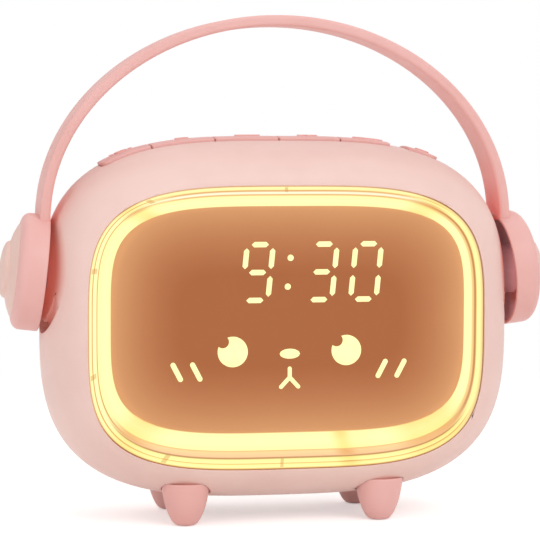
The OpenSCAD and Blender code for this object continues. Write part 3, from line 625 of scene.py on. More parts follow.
class CLOCK_OT_feet(bpy.types.Operator):
    """Turns one foot and stands its copies at the four corners"""

    bl_idname = "clock.feet"
    bl_label = "Feet"

    def execute(self, context):
        profile = [(1.9, 0), (3.1, 0.35), (4.1, 1.35), (5, 3), (5.75, 4.9), (6.35, 7), (6.8, 9.4)]
        profile += [(7.2, 12), (7.2, 13)]
        first = turned("foot", eased(profile), 96)
        smooth(first, 50)
        for x, y, place in foot_places(context.scene.clock_housing):
            pick(first)
            bpy.ops.object.duplicate()
            foot = settle(begin("foot_" + place + "_body"), (0, 0, 0), (x, y, 0))
            finish(foot, "foot_" + place, "housing", plastic(context, "trim"))
        bpy.data.objects.remove(first)
        return {"FINISHED"}


# ---- Night light and display ----


def band(place, sizes):
    """Half width, half height and rise of the ring's outline, 0 at its outer edge and 1 at the window."""
    flange = sizes.flange
    outer = (RING_HIGH.x - flange, (RING_HIGH.z - RING_LOW.z) / 2 - flange, (RING_HIGH.z + RING_LOW.z) / 2)
    inner = (WINDOW_HIGH.x, (WINDOW_HIGH.z - WINDOW_LOW.z) / 2, WINDOW_RISE)
    return [a + (b - a) * place for a, b in zip(outer, inner)]


def band_power(place, sizes):
    """Squareness of the ring's outline at a place."""
    return sizes.power + (sizes.window_power - sizes.power) * place


def band_place(x, z, sizes):
    """The place between the ring's two outlines that a point lies on."""
    low, high = -0.4, 1.3  # A little beyond both outlines
    for _ in range(24):
        middle = (low + high) / 2
        wide, tall, rise = band(middle, sizes)
        power = band_power(middle, sizes)
        inside = (abs(x) / wide) ** power + (abs(z - rise) / tall) ** power < 1
        low, high = (middle, high) if inside else (low, middle)
    return (low + high) / 2


def lay_band_map(piece, sizes):
    """Gives the ring a map with the way round it across and the way in from its outer edge upwards."""
    mesh = piece.data
    spots = []
    for vertex in mesh.vertices:
        place = min(max(band_place(vertex.co.x, vertex.co.z, sizes), 0), 1)
        rise = band(place, sizes)[2]
        spots.append((math.atan2(vertex.co.z - rise, vertex.co.x) / math.tau % 1, place))
    layer = mesh.uv_layers.new(name="band")
    for face in mesh.polygons:
        around = [spots[mesh.loops[i].vertex_index][0] for i in face.loop_indices]
        crossing = max(around) - min(around) > 0.5
        for i, u in zip(face.loop_indices, around):
            layer.data[i].uv = (u + 1 if crossing and u < 0.5 else u, spots[mesh.loops[i].vertex_index][1])


class CLOCK_OT_light_ring(bpy.types.Operator):
    """Models the stepped light ring round the display"""

    bl_idname = "clock.light_ring"
    bl_label = "Light Ring"

    def execute(self, context):
        sizes = context.scene.clock_ring
        front, back, window = RING_LOW.y, RING_HIGH.y, WINDOW_LOW.y
        flange = back - mm(1)
        groove, half = sizes.groove, 0.02
        step_from, step_to = sizes.step_from, sizes.step_to
        # Places between the two outlines, with their depth and how far they stand out
        line = [(0, back, 0), (0, flange, 0), (0, flange, sizes.flange)]
        line += [(0, flange - mm(1.6), sizes.flange), (0, flange - mm(1.6), 0)]
        line += [(0, front + mm(0.35), 0), (0, front + mm(0.12), mm(-0.08)), (0, front, mm(-0.3))]
        line += [(groove - half, front, 0), (groove - half * 0.7, front + mm(0.3), 0)]
        line += [(groove + half * 0.7, front + mm(0.3), 0), (groove + half, front, 0)]
        line += [(step_from - 0.05, front, 0), (step_from - 0.02, front + mm(0.06), 0)]
        line += [(step_from + 0.01, front + mm(0.2), 0), (step_to - 0.02, window - mm(0.12), 0)]
        line += [(step_to + 0.02, window, 0), (0.75, window, 0), (1, window, 0), (1, WINDOW_HIGH.y, 0)]
        line += [(1, WINDOW_HIGH.y, -sizes.ledge), (1, back, -sizes.ledge), (0, back, 0)]
        stations = []
        for place, y, grow in line:
            wide, tall, rise = band(place, sizes)
            stations.append((-y, wide + grow, tall + grow, rise))
        powers = [band_power(place, sizes) for place, _, _ in line]
        ring = loft("light_ring_body", stations, sizes.power, 256, hollow=True, powers=powers)
        settle(ring, (QUARTER, 0, 0))
        lay_band_map(ring, sizes)
        draw_in(ring, sizes)
        smooth(ring, 30)
        finish(ring, "light_ring", "housing", ring_glow(context))
        return {"FINISHED"}


class CLOCK_OT_display(bpy.types.Operator):
    """Gives the display window and its lit marks their finish"""

    bl_idname = "clock.display"
    bl_label = "Display"

    def execute(self, context):
        dress("display_window", window_panel(context))
        dress("segment_lights", lit_marks(context))
        return {"FINISHED"}


# ---- Keys ----


def bar_tool(keys, x, half_x, half_y, y=0):
    """A small raised bar, centred on a key."""
    low, high = keys.proud - SIGN_ROOT, keys.proud + keys.sign_height
    ends = (x - half_x, y - half_y, low), (x + half_x, y + half_y, high)
    return block("bar", *ends, edge=SIGN_EDGE, slices=(6, 0))


def hoop_tool(keys, x, radius, width):
    """A small raised hoop, centred on a key."""
    low, high = keys.proud - SIGN_ROOT, keys.proud + keys.sign_height
    inner, soft = radius - width, mm(0.1)
    line = [(low, radius), (high - soft, radius), (high, radius - soft), (high, inner + soft)]
    line += [(high - soft, inner), (low, inner), (low, radius)]
    hoop = loft("hoop", [(height, reach, reach, 0) for height, reach in line], 2, 40, hollow=True)
    return settle(hoop, (0, 0, 0), (x, 0, 0))


# Where each raised sign starts and ends, in millimetres from the key's left-hand end
SIGNS = {
    "lamp": (3.2, 9.9),
    "dash": (8, 11.7),
    "minus": (7, 14.6),
    "plus": (6.8, 12.9),
    "bar": (5.1, 14.2),
    "power": (3.5, 7.9),
}


def raised_sign(kind, keys, start):
    """The parts of one key's raised sign, as tools."""
    left, right = (mm(v) + start for v in SIGNS[kind])
    x, half = (left + right) / 2, (right - left) / 2
    if kind == "lamp":
        hoop, ends = hoop_tool(keys, x, mm(1.9), mm(0.7)), (x - half + mm(0.6), x + half - mm(0.6))
        return [hoop] + [bar_tool(keys, end, mm(0.6), mm(0.4)) for end in ends]
    if kind == "dash":
        return [bar_tool(keys, x, half, mm(0.5), y) for y in (mm(1.2), mm(-1.2))]
    if kind == "plus":
        return [bar_tool(keys, x, half, mm(0.6)), bar_tool(keys, x, mm(0.6), mm(2.5))]
    if kind == "power":
        return [hoop_tool(keys, x, mm(2.1), mm(0.7)), bar_tool(keys, x, mm(0.35), mm(1.3), mm(1.1))]
    return [bar_tool(keys, x, half, mm(0.7))]


class CLOCK_OT_keys(bpy.types.Operator):
    """Models the six keys, bent to the housing's top, with their raised signs"""

    bl_idname = "clock.keys"
    bl_label = "Keys"

    def execute(self, context):
        housing, keys = context.scene.clock_housing, context.scene.clock_keys
        half = keys.depth / 2
        for name, start, end, kind in KEYS:
            start, end = mm(start), mm(end)
            left = keys.end_corner if name in ("light", "power") else keys.corner
            right = keys.end_corner if name == "power" else keys.corner
            low, high = (start, -half, -keys.skirt), (end, half, keys.proud)
            key = block("key_" + name + "_body", low, high, (left, right), keys.edge, (14, 12))
            for tool in raised_sign(kind, keys, start):
                combine(key, tool, "UNION")
            wrap_over_top(key, housing)
            tidy_faces(key)
            smooth(key, 40)
            finish(key, "key_" + name, "button_" + name, plastic(context, "trim"))
        return {"FINISHED"}


# ---- Handle ----


class CLOCK_OT_handle_band(bpy.types.Operator):
    """Bends a strip into the arch and gives it its thickness and soft edges"""

    bl_idname = "clock.handle_band"
    bl_label = "Handle Band"

    def execute(self, context):
        sizes = context.scene.clock_handle
        bpy.ops.object.select_all(action="DESELECT")
        bpy.ops.mesh.primitive_grid_add(x_subdivisions=180, y_subdivisions=6, size=1)
        strip = begin("handle_band_body")
        low = math.asin((sizes.end - sizes.spring) / sizes.half_width)
        for vertex in strip.data.vertices:
            angle = low + (math.pi - 2 * low) * (0.5 - vertex.co.x)
            across, up = abs(math.cos(angle)) / sizes.half_width, abs(math.sin(angle)) / sizes.arch
            reach = (across**sizes.power + up**sizes.power) ** (-1 / sizes.power)
            y = vertex.co.y * sizes.depth + PIVOT.y
            vertex.co = (reach * math.cos(angle), y, sizes.spring + reach * math.sin(angle))
        strip.data.update()
        outward = sum(face.normal.dot(face.center) for face in strip.data.polygons) > 0
        side = -1 if outward else 1
        modify(strip, "SOLIDIFY", thickness=sizes.thickness, offset=side, use_even_offset=True)
        tidy_faces(strip)
        break_edges(strip, sizes.edge, 4, 50)
        smooth(strip, 40)
        finish(strip, "handle_band", "handle", plastic(context, "band"))
        return {"FINISHED"}


def on_cup_axis(piece, sizes):
    """Moves a turned piece onto the right-hand cup's leaning axis."""
    return settle(piece, (0, QUARTER - sizes.splay, sizes.toe), (sizes.rim, PIVOT.y, PIVOT.z))


class CLOCK_OT_ear_cups(bpy.types.Operator):
    """Turns the ear cups with their hollow backs, hubs and axles"""

    bl_idname = "clock.ear_cups"
    bl_label = "Ear Cups"

    def execute(self, context):
        sizes, housing = context.scene.clock_cups, context.scene.clock_housing
        r, cap, deep = (v * 1000 for v in (sizes.radius, sizes.cap, sizes.depth))
        dish = [(r - 9, 4.2), (r - 6.6, 3.7), (r - 4.4, 2.9), (r - 2.8, 1.9), (r - 1.6, 0.9), (r - 0.9, 0)]
        rim = [(r - 0.5, -0.05), (r - 0.15, 0.12), (r, 0.5), (r, deep - 5), (r, deep - 2.8)]
        rounding = [(0.12, 2.05), (0.45, 1.4), (0.95, 0.85), (1.6, 0.43), (2.3, 0.17), (3, 0.02)]
        profile = eased(dish, 3) + rim + [(r - step, deep - drop) for step, drop in rounding]
        profile += [(cap + 0.1, deep), (cap + 0.1, deep - 1.5)]
        cup = on_cup_axis(turned("ear_cup_right_body", profile, 160), sizes)
        inner, place = sizes.rim + mm(5), (0, PIVOT.y, PIVOT.z)
        combine(cup, rod("hub", sizes.hub, housing.seat_face + mm(1.25), inner, place, "X"), "UNION")
        combine(cup, rod("axle", sizes.axle, housing.seat_face - mm(4.75), inner, place, "X"), "UNION")
        finish_pair(cup, "ear_cup", plastic(context, "cup"), 35)
        return {"FINISHED"}


class CLOCK_OT_ear_caps(bpy.types.Operator):
    """Turns the domed caps with their raised bosses"""

    bl_idname = "clock.ear_caps"
    bl_label = "Ear Caps"

    def execute(self, context):
        sizes = context.scene.clock_cups
        cap, boss, deep = (v * 1000 for v in (sizes.cap, sizes.boss, sizes.depth))
        line = [(cap, 0), (cap - 0.35, 0.4), (cap - 1.3, 0.85), (cap - 2.8, 1.5), (boss + 1.5, 1.9)]
        line += [(boss + 0.5, 2.15), (boss + 0.1, 2.5), (boss - 0.1, 3), (boss - 0.7, 3.6)]
        line += [(boss - 2.4, 4.2), (boss - 5, 4.6), (1.2, 4.78), (0.4, 4.8)]
        profile = [(radius, deep + rise) for radius, rise in [(cap, -1.49), (cap, -0.5)] + eased(line, 3)]
        piece = on_cup_axis(turned("ear_cap_right_body", profile, 160, tip=True), sizes)
        finish_pair(piece, "ear_cap", plastic(context, "cap"), 50)
        return {"FINISHED"}


# ---- Finishes ----


BLACK = (0, 0, 0, 1)

# The ring's own light from its outer edge inwards, with painted shade lines at its steps and at the gap
# round its outer edge, and copies for the top, the bottom and the right whose steps and slopes are painted
# lighter or darker as they face, as places with screen colours
RING_GLOW_AND_PAINTED_SHADE = {
    "plain": [
        (0.0, 196, 146, 92), (0.02, 246, 222, 158), (0.05, 255, 252, 190), (0.13, 255, 249, 172),
        (0.148, 205, 132, 66), (0.168, 214, 144, 76), (0.19, 255, 254, 196), (0.34, 255, 252, 184),
        (0.36, 190, 118, 62), (0.385, 214, 150, 84), (0.41, 255, 254, 178), (0.72, 255, 255, 190),
        (0.975, 255, 254, 182), (1.0, 220, 170, 100),
    ],
    "above": [
        (0.0, 190, 142, 96), (0.03, 250, 232, 170), (0.06, 250, 252, 182), (0.17, 250, 238, 166),
        (0.2, 214, 150, 92), (0.25, 218, 158, 108), (0.28, 252, 246, 214), (0.37, 253, 248, 224),
        (0.4, 232, 186, 140), (0.43, 204, 140, 78), (0.465, 244, 214, 140), (0.49, 253, 254, 180),
        (0.72, 254, 254, 190), (0.975, 254, 252, 182), (1.0, 220, 170, 100),
    ],
    "below": [
        (0.0, 160, 98, 54), (0.03, 236, 204, 120), (0.055, 255, 251, 176), (0.135, 255, 247, 158),
        (0.15, 216, 148, 78), (0.17, 255, 252, 172), (0.275, 250, 246, 160), (0.3, 170, 104, 62),
        (0.328, 186, 118, 80), (0.345, 242, 194, 150), (0.45, 250, 208, 152), (0.48, 236, 192, 130),
        (0.498, 222, 174, 108), (0.515, 255, 252, 178), (0.72, 255, 255, 188), (0.975, 255, 254, 182),
        (1.0, 220, 170, 100),
    ],
    "beside": [
        (0.0, 140, 96, 66), (0.05, 226, 190, 138), (0.13, 246, 228, 152), (0.2, 252, 250, 172),
        (0.345, 252, 248, 168), (0.375, 232, 176, 112), (0.4, 170, 102, 56), (0.44, 182, 116, 70),
        (0.47, 238, 186, 126), (0.55, 248, 208, 146), (0.58, 255, 250, 176), (0.72, 255, 255, 190),
        (0.975, 255, 254, 182), (1.0, 220, 170, 100),
    ],
}

# Where round the ring they show, as places with levels
RING_REACH = {
    "above": [(0.0, 0), (0.105, 0), (0.14, 1), (0.36, 1), (0.4, 0), (1.0, 0)],
    "below": [(0.0, 0), (0.56, 0), (0.615, 1), (0.9, 1), (0.94, 0), (1.0, 0)],
    "beside": [(0.0, 1), (0.1, 1), (0.13, 0), (0.9, 0), (0.935, 1), (1.0, 1)],
}

# The light of its corners, with painted shade lines at its steps, where round it they show, and the places
# of its clip marks
RING_GOLD = [
    (0.0, 150, 92, 46), (0.05, 248, 222, 128), (0.13, 246, 216, 120), (0.15, 190, 116, 58),
    (0.19, 250, 232, 140), (0.275, 246, 220, 120), (0.305, 150, 78, 40), (0.335, 226, 160, 104),
    (0.482, 214, 140, 72), (0.75, 250, 226, 132), (1.0, 240, 206, 112),
]
GOLD_REACH = [
    (0.0, 0), (0.085, 0), (0.109, 0.75), (0.128, 0.1), (0.25, 0), (0.385, 0.05), (0.4, 0.9),
    (0.415, 0.1), (0.5, 0), (0.572, 0.05), (0.594, 0.8), (0.622, 0), (0.8, 0), (0.818, 1),
    (0.833, 0.2), (0.86, 0), (0.888, 0.75), (0.908, 0.75), (0.94, 0),
]
CLIP_MARKS = (0.0489, 0.1234, 0.2544, 0.3825, 0.4525, 0.5347, 0.6254, 0.7378)


class Nodes:
    """A tree of shader nodes, put together node by node."""

    def __init__(self, tree):
        self.tree = tree

    def add(self, kind, inputs=(), **settings):
        """Adds a node with its settings and inputs."""
        node = self.tree.nodes.new("ShaderNode" + kind)
        for key, value in settings.items():
            setattr(node, key, value)
        self.fill(node, dict(inputs))
        return node

    def fill(self, node, inputs):
        """Puts values or other nodes' outputs into a node's inputs."""
        for key, value in inputs.items():
            if hasattr(value, "is_output"):
                self.tree.links.new(value, node.inputs[key])
            else:
                node.inputs[key].default_value = value

    def spread(self, source, low, high, start=0.35, end=0.65):
        """Maps part of a value's range to another."""
        ends = {"Value": source, "From Min": start, "From Max": end, "To Min": low, "To Max": high}
        return self.add("MapRange", ends).outputs["Result"]

    def math(self, operation, *values):
        """One arithmetic step on values or numbers."""
        return self.add("Math", enumerate(values), operation=operation).outputs["Value"]

    def seen(self):
        """Whether the camera sees a point, be it in a reflection or through a clear piece."""
        path = self.add("LightPath").outputs
        direct = self.math("MAXIMUM", path["Is Camera Ray"], path["Is Glossy Ray"])
        return self.math("MAXIMUM", direct, path["Is Transmission Ray"])


class Finish(Nodes):
    """A material with its own shader."""

    def __init__(self, name):
        self.material = bpy.data.materials.new(name)
        self.material.use_nodes = True
        super().__init__(self.material.node_tree)
        self.shader = self.tree.nodes["Principled BSDF"]
        self.coordinates = self.add("TexCoord").outputs["Object"]

    def noise(self, scale, detail=2, roughness=0.5, stretch=None):
        """A cloudy pattern, of about 1/scale metres."""
        vector = self.coordinates
        if stretch:
            vector = self.add("Mapping", {"Vector": vector, "Scale": stretch}).outputs["Vector"]
        inputs = {"Scale": scale, "Detail": detail, "Roughness": roughness, "Vector": vector}
        return self.add("TexNoise", inputs).outputs["Fac"]

    def ramp(self, source, rows, blend="LINEAR"):
        """Colours along a value. A row is a place with a screen colour, a ready colour or a grey level."""
        node = self.add("ValToRGB", {"Fac": source})
        node.color_ramp.interpolation = blend
        line = node.color_ramp.elements
        while len(line) < len(rows):
            line.new(0.5)
        for element, (place, *_) in zip(line, rows):
            element.position = place
        for element, (_, *shade) in zip(line, rows):
            element.color = ready_colour(*shade)
        return node.outputs["Color"]

    def split(self, source=None):
        """The three parts of a place or direction."""
        return self.add("SeparateXYZ", {"Vector": source or self.coordinates}).outputs

    def mix(self, factor, a, b):
        """A blend of two colours."""
        node = self.add("Mix", data_type="RGBA")
        index = {socket.name: k for k, socket in enumerate(node.inputs) if socket.enabled}
        self.fill(node, {index["Factor"]: factor, index["A"]: a, index["B"]: b})
        return next(socket for socket in node.outputs if socket.enabled)

    def bump(self, height, depth, strength):
        """Raises and lowers the surface a little."""
        inputs = {"Strength": strength, "Distance": depth, "Height": height}
        self.set(Normal=self.add("Bump", inputs).outputs["Normal"])

    def set(self, **values):
        """Sets the shader's own sockets, or joins patterns to them."""
        self.fill(self.shader, {key.replace("_", " "): value for key, value in values.items()})


def ready_colour(*parts):
    """The linear colour of a screen colour, a ready colour or a grey level."""
    if len(parts) == 3:
        return tint(*parts)
    return parts[0] if isinstance(parts[0], tuple) else (parts[0],) * 3 + (1,)


def satin_plastic(name, main, shade, rough, grain=1600, depth=0.012, painted_shade=None, where=None, painted_glow=None):
    """Moulded plastic with faint flow clouding, an even satin grain and slightly uneven gloss.

    Painted shade deepens the plastic where a step says so, and the painted glow is a step that adds
    an emitted glow, painted light for the light which the plastic carries into its narrow gaps."""
    stock = bpy.data.materials.get(name)
    if stock:
        return stock
    look = Finish(name)
    tone = look.ramp(look.noise(38, 4, 0.55), [(0.36, (*shade[:3], 1)), (0.64, (*main[:3], 1))], "EASE")
    if painted_shade:
        tone = look.mix(where(look), tone, (*painted_shade, 1))
    gloss = look.spread(look.noise(210, 3), rough - 0.05, rough + 0.05)
    look.set(Base_Color=tone, Roughness=gloss, Specular_IOR_Level=0.4)
    look.bump(look.noise(grain, 2, 0.6), mm(depth), 0.5)
    if painted_glow:
        look.set(Emission_Color=painted_glow(look), Emission_Strength=1.0)
    return look.material


def from_axis(look):
    """Distance from the handle's axis, and how far a point lies out at the sides."""
    centre = {"Vector": look.coordinates, "Location": (0, -PIVOT.y, -PIVOT.z), "Scale": (0, 1, 1)}
    offset = look.add("Mapping", centre).outputs["Vector"]
    reach = look.add("VectorMath", {0: offset}, operation="LENGTH").outputs["Value"]
    return reach, look.spread(look.math("ABSOLUTE", look.split()[0]), 0, 1, mm(60), mm(66))


def behind_cup(look, end=mm(18.6)):
    """Whether a point lies on the housing's side, behind a cup, where the painted shade and painted glow
    go.
    """
    near, side = from_axis(look)
    return look.math("MULTIPLY", look.spread(near, 1, 0, mm(13.5), end), side)


def in_dish(look):
    """Whether a point lies in a cup's hollow back, where the painted shade and painted glow go."""
    near, _ = from_axis(look)
    shallow = look.spread(look.math("ABSOLUTE", look.split()[0]), 1, 0, mm(75), mm(75.4))
    return look.math("MULTIPLY", look.spread(near, 1, 0, mm(15.8), mm(16.7)), shallow)


def painted_glow_behind_cups(look):
    """Painted light: an emitted red glow in the housing's sides behind the cups, for light that bounces
    into the gap.
    """
    return look.mix(behind_cup(look, mm(19.5)), BLACK, (0.11, 0.026, 0.016, 1))


def painted_glow_in_dish(look):
    """Painted light: an emitted glow in the cups' hollow backs that fades away from the rim's front."""
    x, y, _ = look.split()
    towards = look.math("SUBTRACT", look.math("ABSOLUTE", x), look.math("MULTIPLY", y, 0.4))
    shades = [(0.0, (0.025, 0.012, 0.014, 1)), (0.5, (0.06, 0.028, 0.03, 1)), (1.0, (0.25, 0.1, 0.1, 1))]
    light = look.ramp(look.spread(towards, 0, 1, mm(72.3), mm(77)), shades)
    return look.mix(in_dish(look), BLACK, light)


def painted_glow_on_band(look):
    """Painted light: an emitted red glow on the inner face of the band, low down between the band and the
    housing.
    """
    x, _, z = look.split()
    facing = look.split(look.add("NewGeometry").outputs["Normal"])
    inner = look.spread(look.math("MULTIPLY", x, facing[0]), 1, 0, mm(-55), mm(-25))
    level = look.math("MULTIPLY", inner, look.spread(z, 1, 0, mm(92.5), mm(112)))
    return look.mix(level, BLACK, (0.15, 0.004, 0.004, 1))


def plastic(context, name):
    """One of the clock's own plastics, in the colours that a user may change."""
    tones = context.scene.clock_colours
    trim = tones.trim, tones.trim_shade
    # The shell and the cups get painted shade and painted glow near and in the cups, the band a painted
    # glow low on its inner face
    rows = {
        "shell": (tones.shell, tones.shell_shade, 0.48, 1600, 0.012, tones.painted_shade, behind_cup, painted_glow_behind_cups),
        "trim": (*trim, 0.5, 1600, 0.008),
        "band": (*trim, 0.55, 1600, 0.006, None, None, painted_glow_on_band),
        "cup": (*trim, 0.5, 1600, 0.008, tones.dish, in_dish, painted_glow_in_dish),
        "cap": (tones.cap, tones.cap_shade, 0.5),
    }
    return satin_plastic(name + "_plastic", *rows[name])


def ring_glow(context):
    """Lit translucent plastic: bright bands, painted shade lines where it steps, painted shade on its
    slopes by side, golden corners, clip marks.
    """
    ring = Finish("ring_glow")
    around, inwards, _ = ring.split(ring.add("UVMap", uv_map="band").outputs["UV"])
    lit = ring.ramp(inwards, RING_GLOW_AND_PAINTED_SHADE["plain"])
    # The top, bottom and right take copies with their own painted shade on the steps and slopes
    for side, reach in RING_REACH.items():
        lit = ring.mix(ring.ramp(around, reach, "EASE"), lit, ring.ramp(inwards, RING_GLOW_AND_PAINTED_SHADE[side]))
    corner = (*context.scene.clock_colours.glow_corner, 1)
    golden = ring.ramp(inwards, sorted(RING_GOLD + [(0.51, corner)]))
    places = ring.ramp(around, GOLD_REACH, "EASE")
    warmth = ring.math("MULTIPLY", places, ring.spread(ring.noise(70, 3, 0.6), 0.75, 1.0, 0.3, 0.7))
    lit = ring.mix(warmth, lit, golden)
    # Clip marks: short darker ticks across the outer band
    marks = [(0.0, 0)]
    for place in CLIP_MARKS:
        marks += [(place - 0.0012, 1), (place + 0.0012, 0)]
    inside, outside = ring.math("GREATER_THAN", inwards, 0.05), ring.math("LESS_THAN", inwards, 0.29)
    on_band = ring.math("MULTIPLY", inside, outside)
    tick = ring.math("MULTIPLY", ring.math("MULTIPLY", ring.ramp(around, marks, "CONSTANT"), on_band), 0.5)
    lit = ring.mix(tick, lit, tint(196, 128, 62))
    ring.bump(ring.noise(900, 2), mm(0.02), 0.4)
    ring.set(Emission_Color=lit, Roughness=ring.spread(ring.noise(160, 2), 0.16, 0.26))
    ring.set(Base_Color=tint(120, 104, 60), Emission_Strength=0.92, Specular_IOR_Level=0.35)
    return ring.material


def window_panel(context):
    """Smoked panel lit from behind: deep at its middle, lighter towards the ring."""
    colours = context.scene.clock_colours
    panel = Finish("window_panel")
    x, _, z = panel.split()
    half = (WINDOW_HIGH.z - WINDOW_LOW.z) / 2
    beyond = panel.math("SUBTRACT", panel.math("ABSOLUTE", x), WINDOW_HIGH.x - half)
    across = panel.math("DIVIDE", panel.math("MAXIMUM", beyond, 0.0), half)
    up = panel.math("DIVIDE", panel.math("ABSOLUTE", panel.math("SUBTRACT", z, WINDOW_RISE)), half)
    total = panel.math("ADD", panel.math("POWER", across, 3.0), panel.math("POWER", up, 3.0))
    reach = panel.math("POWER", total, 1 / 3)
    soft = panel.math("ADD", reach, panel.spread(panel.noise(30, 2), -0.012, 0.012))
    deep, pale = (*colours.window_middle, 1), (*colours.window_edge, 1)
    shades = [(0.0, deep), (0.4, deep), (0.46, 173, 104, 62), (0.58, 180, 112, 69)]
    shades += [(0.7, 189, 122, 79), (0.83, 199, 136, 89), (0.95, 211, 150, 101), (1.0, pale)]
    shade = panel.ramp(soft, shades)
    panel.bump(panel.noise(700, 2), mm(0.005), 0.3)
    panel.set(Base_Color=shade, Emission_Color=shade, Roughness=panel.spread(panel.noise(90, 2), 0.3, 0.38))
    panel.set(Emission_Strength=0.08, Specular_IOR_Level=0.25)
    return panel.material


def lit_marks(context):
    """Evenly lit cream plastic."""
    marks = Finish("lit_marks")
    pale = (*context.scene.clock_colours.marks, 1)
    light = marks.ramp(marks.noise(260, 2), [(0.3, 248, 244, 170), (0.6, pale)])
    marks.bump(marks.noise(900, 2), mm(0.01), 0.3)
    marks.set(Base_Color=tint(150, 140, 100), Emission_Color=light, Roughness=0.4, Emission_Strength=0.9)
    return marks.material


def circuit_finish():
    """Solder mask with thin tracks and pads."""
    board = Finish("circuit_finish")
    turned_up = board.add("Mapping", {"Vector": board.coordinates, "Rotation": (QUARTER, 0, 0)})
    pattern = {
        "Vector": turned_up.outputs["Vector"],
        "Scale": 420,
        "Mortar Size": 0.03,
        "Mortar Smooth": 0.2,
        "Row Height": 0.5,
        "Color1": tint(26, 92, 62),
        "Color2": tint(22, 84, 56),
        "Mortar": tint(60, 132, 90),
    }
    tracks = board.add("TexBrick", pattern, offset=0.5, squash=1.6).outputs
    board.bump(tracks["Fac"], mm(0.03), 0.5)
    board.set(Base_Color=tracks["Color"], Roughness=0.35)
    return board.material


def metal_finish(name, main, shade, rough, stretch=(1, 1, 14)):
    """Plated metal with a drawn grain."""
    metal = Finish(name)
    grain = metal.noise(900, 3, 0.6, stretch)
    gloss = metal.spread(grain, rough - 0.06, rough + 0.08)
    metal.set(Base_Color=metal.ramp(grain, [(0.3, shade), (0.7, main)]), Roughness=gloss, Metallic=1.0)
    metal.bump(grain, mm(0.01), 0.4)
    return metal.material


def printed_wrap():
    """Shrink sleeve over the cells: glossy, with soft creases."""
    wrap = Finish("battery_wrap")
    creases = wrap.noise(120, 4, 0.6, (1, 1, 5))
    tone = wrap.ramp(creases, [(0.3, 92, 122, 168), (0.7, 118, 150, 196)])
    wrap.bump(creases, mm(0.25), 0.5)
    wrap.set(Base_Color=tone, Roughness=0.22, Coat_Weight=0.3)
    return wrap.material


def cone_paper():
    """Pressed fibre of the speaker cone."""
    paper = Finish("cone_paper")
    fibres = paper.noise(1500, 5, 0.7)
    tone = paper.ramp(fibres, [(0.3, 26, 26, 28), (0.7, 48, 47, 50)])
    paper.bump(fibres, mm(0.08), 0.8)
    paper.set(Base_Color=tone, Roughness=0.9)
    return paper.material


def dress(node, material):
    """Puts a finish on every material slot of a CAD node."""
    for slot in frame["nodes"][node].material_slots:
        slot.material = material


class CLOCK_OT_inner_parts(bpy.types.Operator):
    """Gives the boards, screws, speaker, battery and other inner parts their finishes"""

    bl_idname = "clock.inner_parts"
    bl_label = "Inner Parts"

    def execute(self, context):
        frame_plastic = satin_plastic("frame_plastic", tint(222, 222, 217), tint(214, 214, 208), 0.55)
        dark_plastic = satin_plastic("dark_plastic", tint(44, 44, 47), tint(36, 36, 39), 0.5)
        soft_foam = satin_plastic("soft_foam", tint(40, 40, 42), tint(28, 28, 30), 0.9, 900, 0.25)
        steel = metal_finish("plated_steel", tint(205, 206, 210), tint(176, 178, 184), 0.3)
        nickel = metal_finish("nickel_shell", tint(196, 192, 184), tint(170, 166, 158), 0.26, (14, 1, 1))
        lamps = satin_plastic("lamp_resin", tint(250, 244, 214), tint(246, 236, 190), 0.3)
        finishes = [
            (circuit_finish(), "display_board ring_board circuit_board key_board usb_board"),
            (frame_plastic, "inner_frame key_frame battery_clip"),
            (dark_plastic, "board_chips coin_holder tact_switches speaker_magnet"),
            (soft_foam, "speaker_gasket friction_washers"),
            (steel, "frame_screws cover_screws clip_screws foot_screws pivot_screws pivot_washers"),
            (nickel, "usb_socket coin_cell speaker_frame"),
            (lamps, "ring_leds"),
            (cone_paper(), "speaker_cone"),
            (printed_wrap(), "battery_pack"),
        ]
        for material, nodes in finishes:
            for node in nodes.split():
                dress(node, material)
        return {"FINISHED"}


# ---- Stage ----


# Lamps: name, place, width, height and power
LAMPS = [
    ("front_softbox", (0.5, -1.2, 1.05), 1.1, 0.9, 8.6),
    ("left_softbox", (-1.3, -0.5, 0.55), 0.8, 1.0, 3.2),
    ("top_softbox", (0.1, 0.35, 1.3), 1.2, 1.2, 3.3),
]
LAMP_AIM = Vector((0, 0, 0.075))
CAMERA_PLACE, CAMERA_AIM = Vector((-0.14715, -0.69228, 0.12388)), Vector((-0.00119, 0, 0.07472))
CAMERA_ROLL, CAMERA_LENS = math.radians(0.24), 155.56
SKY_LIGHT, SKY_SEEN = 0.56, 1.0  # Strength of the surroundings, as light and as they are seen
FLOOR_SIZE, FLOOR_RISE, FLOOR_CURVE = 6, 3, 1.2


def floor_finish():
    """Pale sweep: it takes the clock's shadow near the clock, and runs out into plain white."""
    floor = Finish("floor_finish")
    distance = floor.add("VectorMath", {0: floor.coordinates}, operation="LENGTH").outputs["Value"]
    far, seen = floor.spread(distance, 0.0, 1.0, 0.12, 0.4), floor.seen()
    tone = floor.ramp(floor.noise(6, 2), [(0.3, 246, 244, 243), (0.7, 250, 249, 248)])
    matte = floor.add("BsdfDiffuse", {"Color": tone}).outputs["BSDF"]
    lift = floor.add("Emission", {"Strength": floor.math("MULTIPLY", seen, 0.42)}).outputs["Emission"]
    near = floor.add("AddShader", {0: matte, 1: lift}).outputs["Shader"]
    white = floor.add("Emission").outputs["Emission"]
    blend = floor.add("MixShader", {"Fac": floor.math("MULTIPLY", far, seen), 1: near, 2: white})
    floor.fill(floor.tree.nodes["Material Output"], {"Surface": blend.outputs["Shader"]})
    floor.tree.nodes.remove(floor.shader)
    return floor.material


def soft_light(name, place, across, up, power):
    """A large soft lamp that faces the clock."""
    bpy.ops.object.light_add(type="AREA", location=place)
    lamp = bpy.context.object
    lamp.name = name
    lamp.rotation_euler = (LAMP_AIM - Vector(place)).to_track_quat("-Z", "Y").to_euler()
    lamp.data.shape, lamp.data.size, lamp.data.size_y = "RECTANGLE", across, up
    lamp.data.energy = power


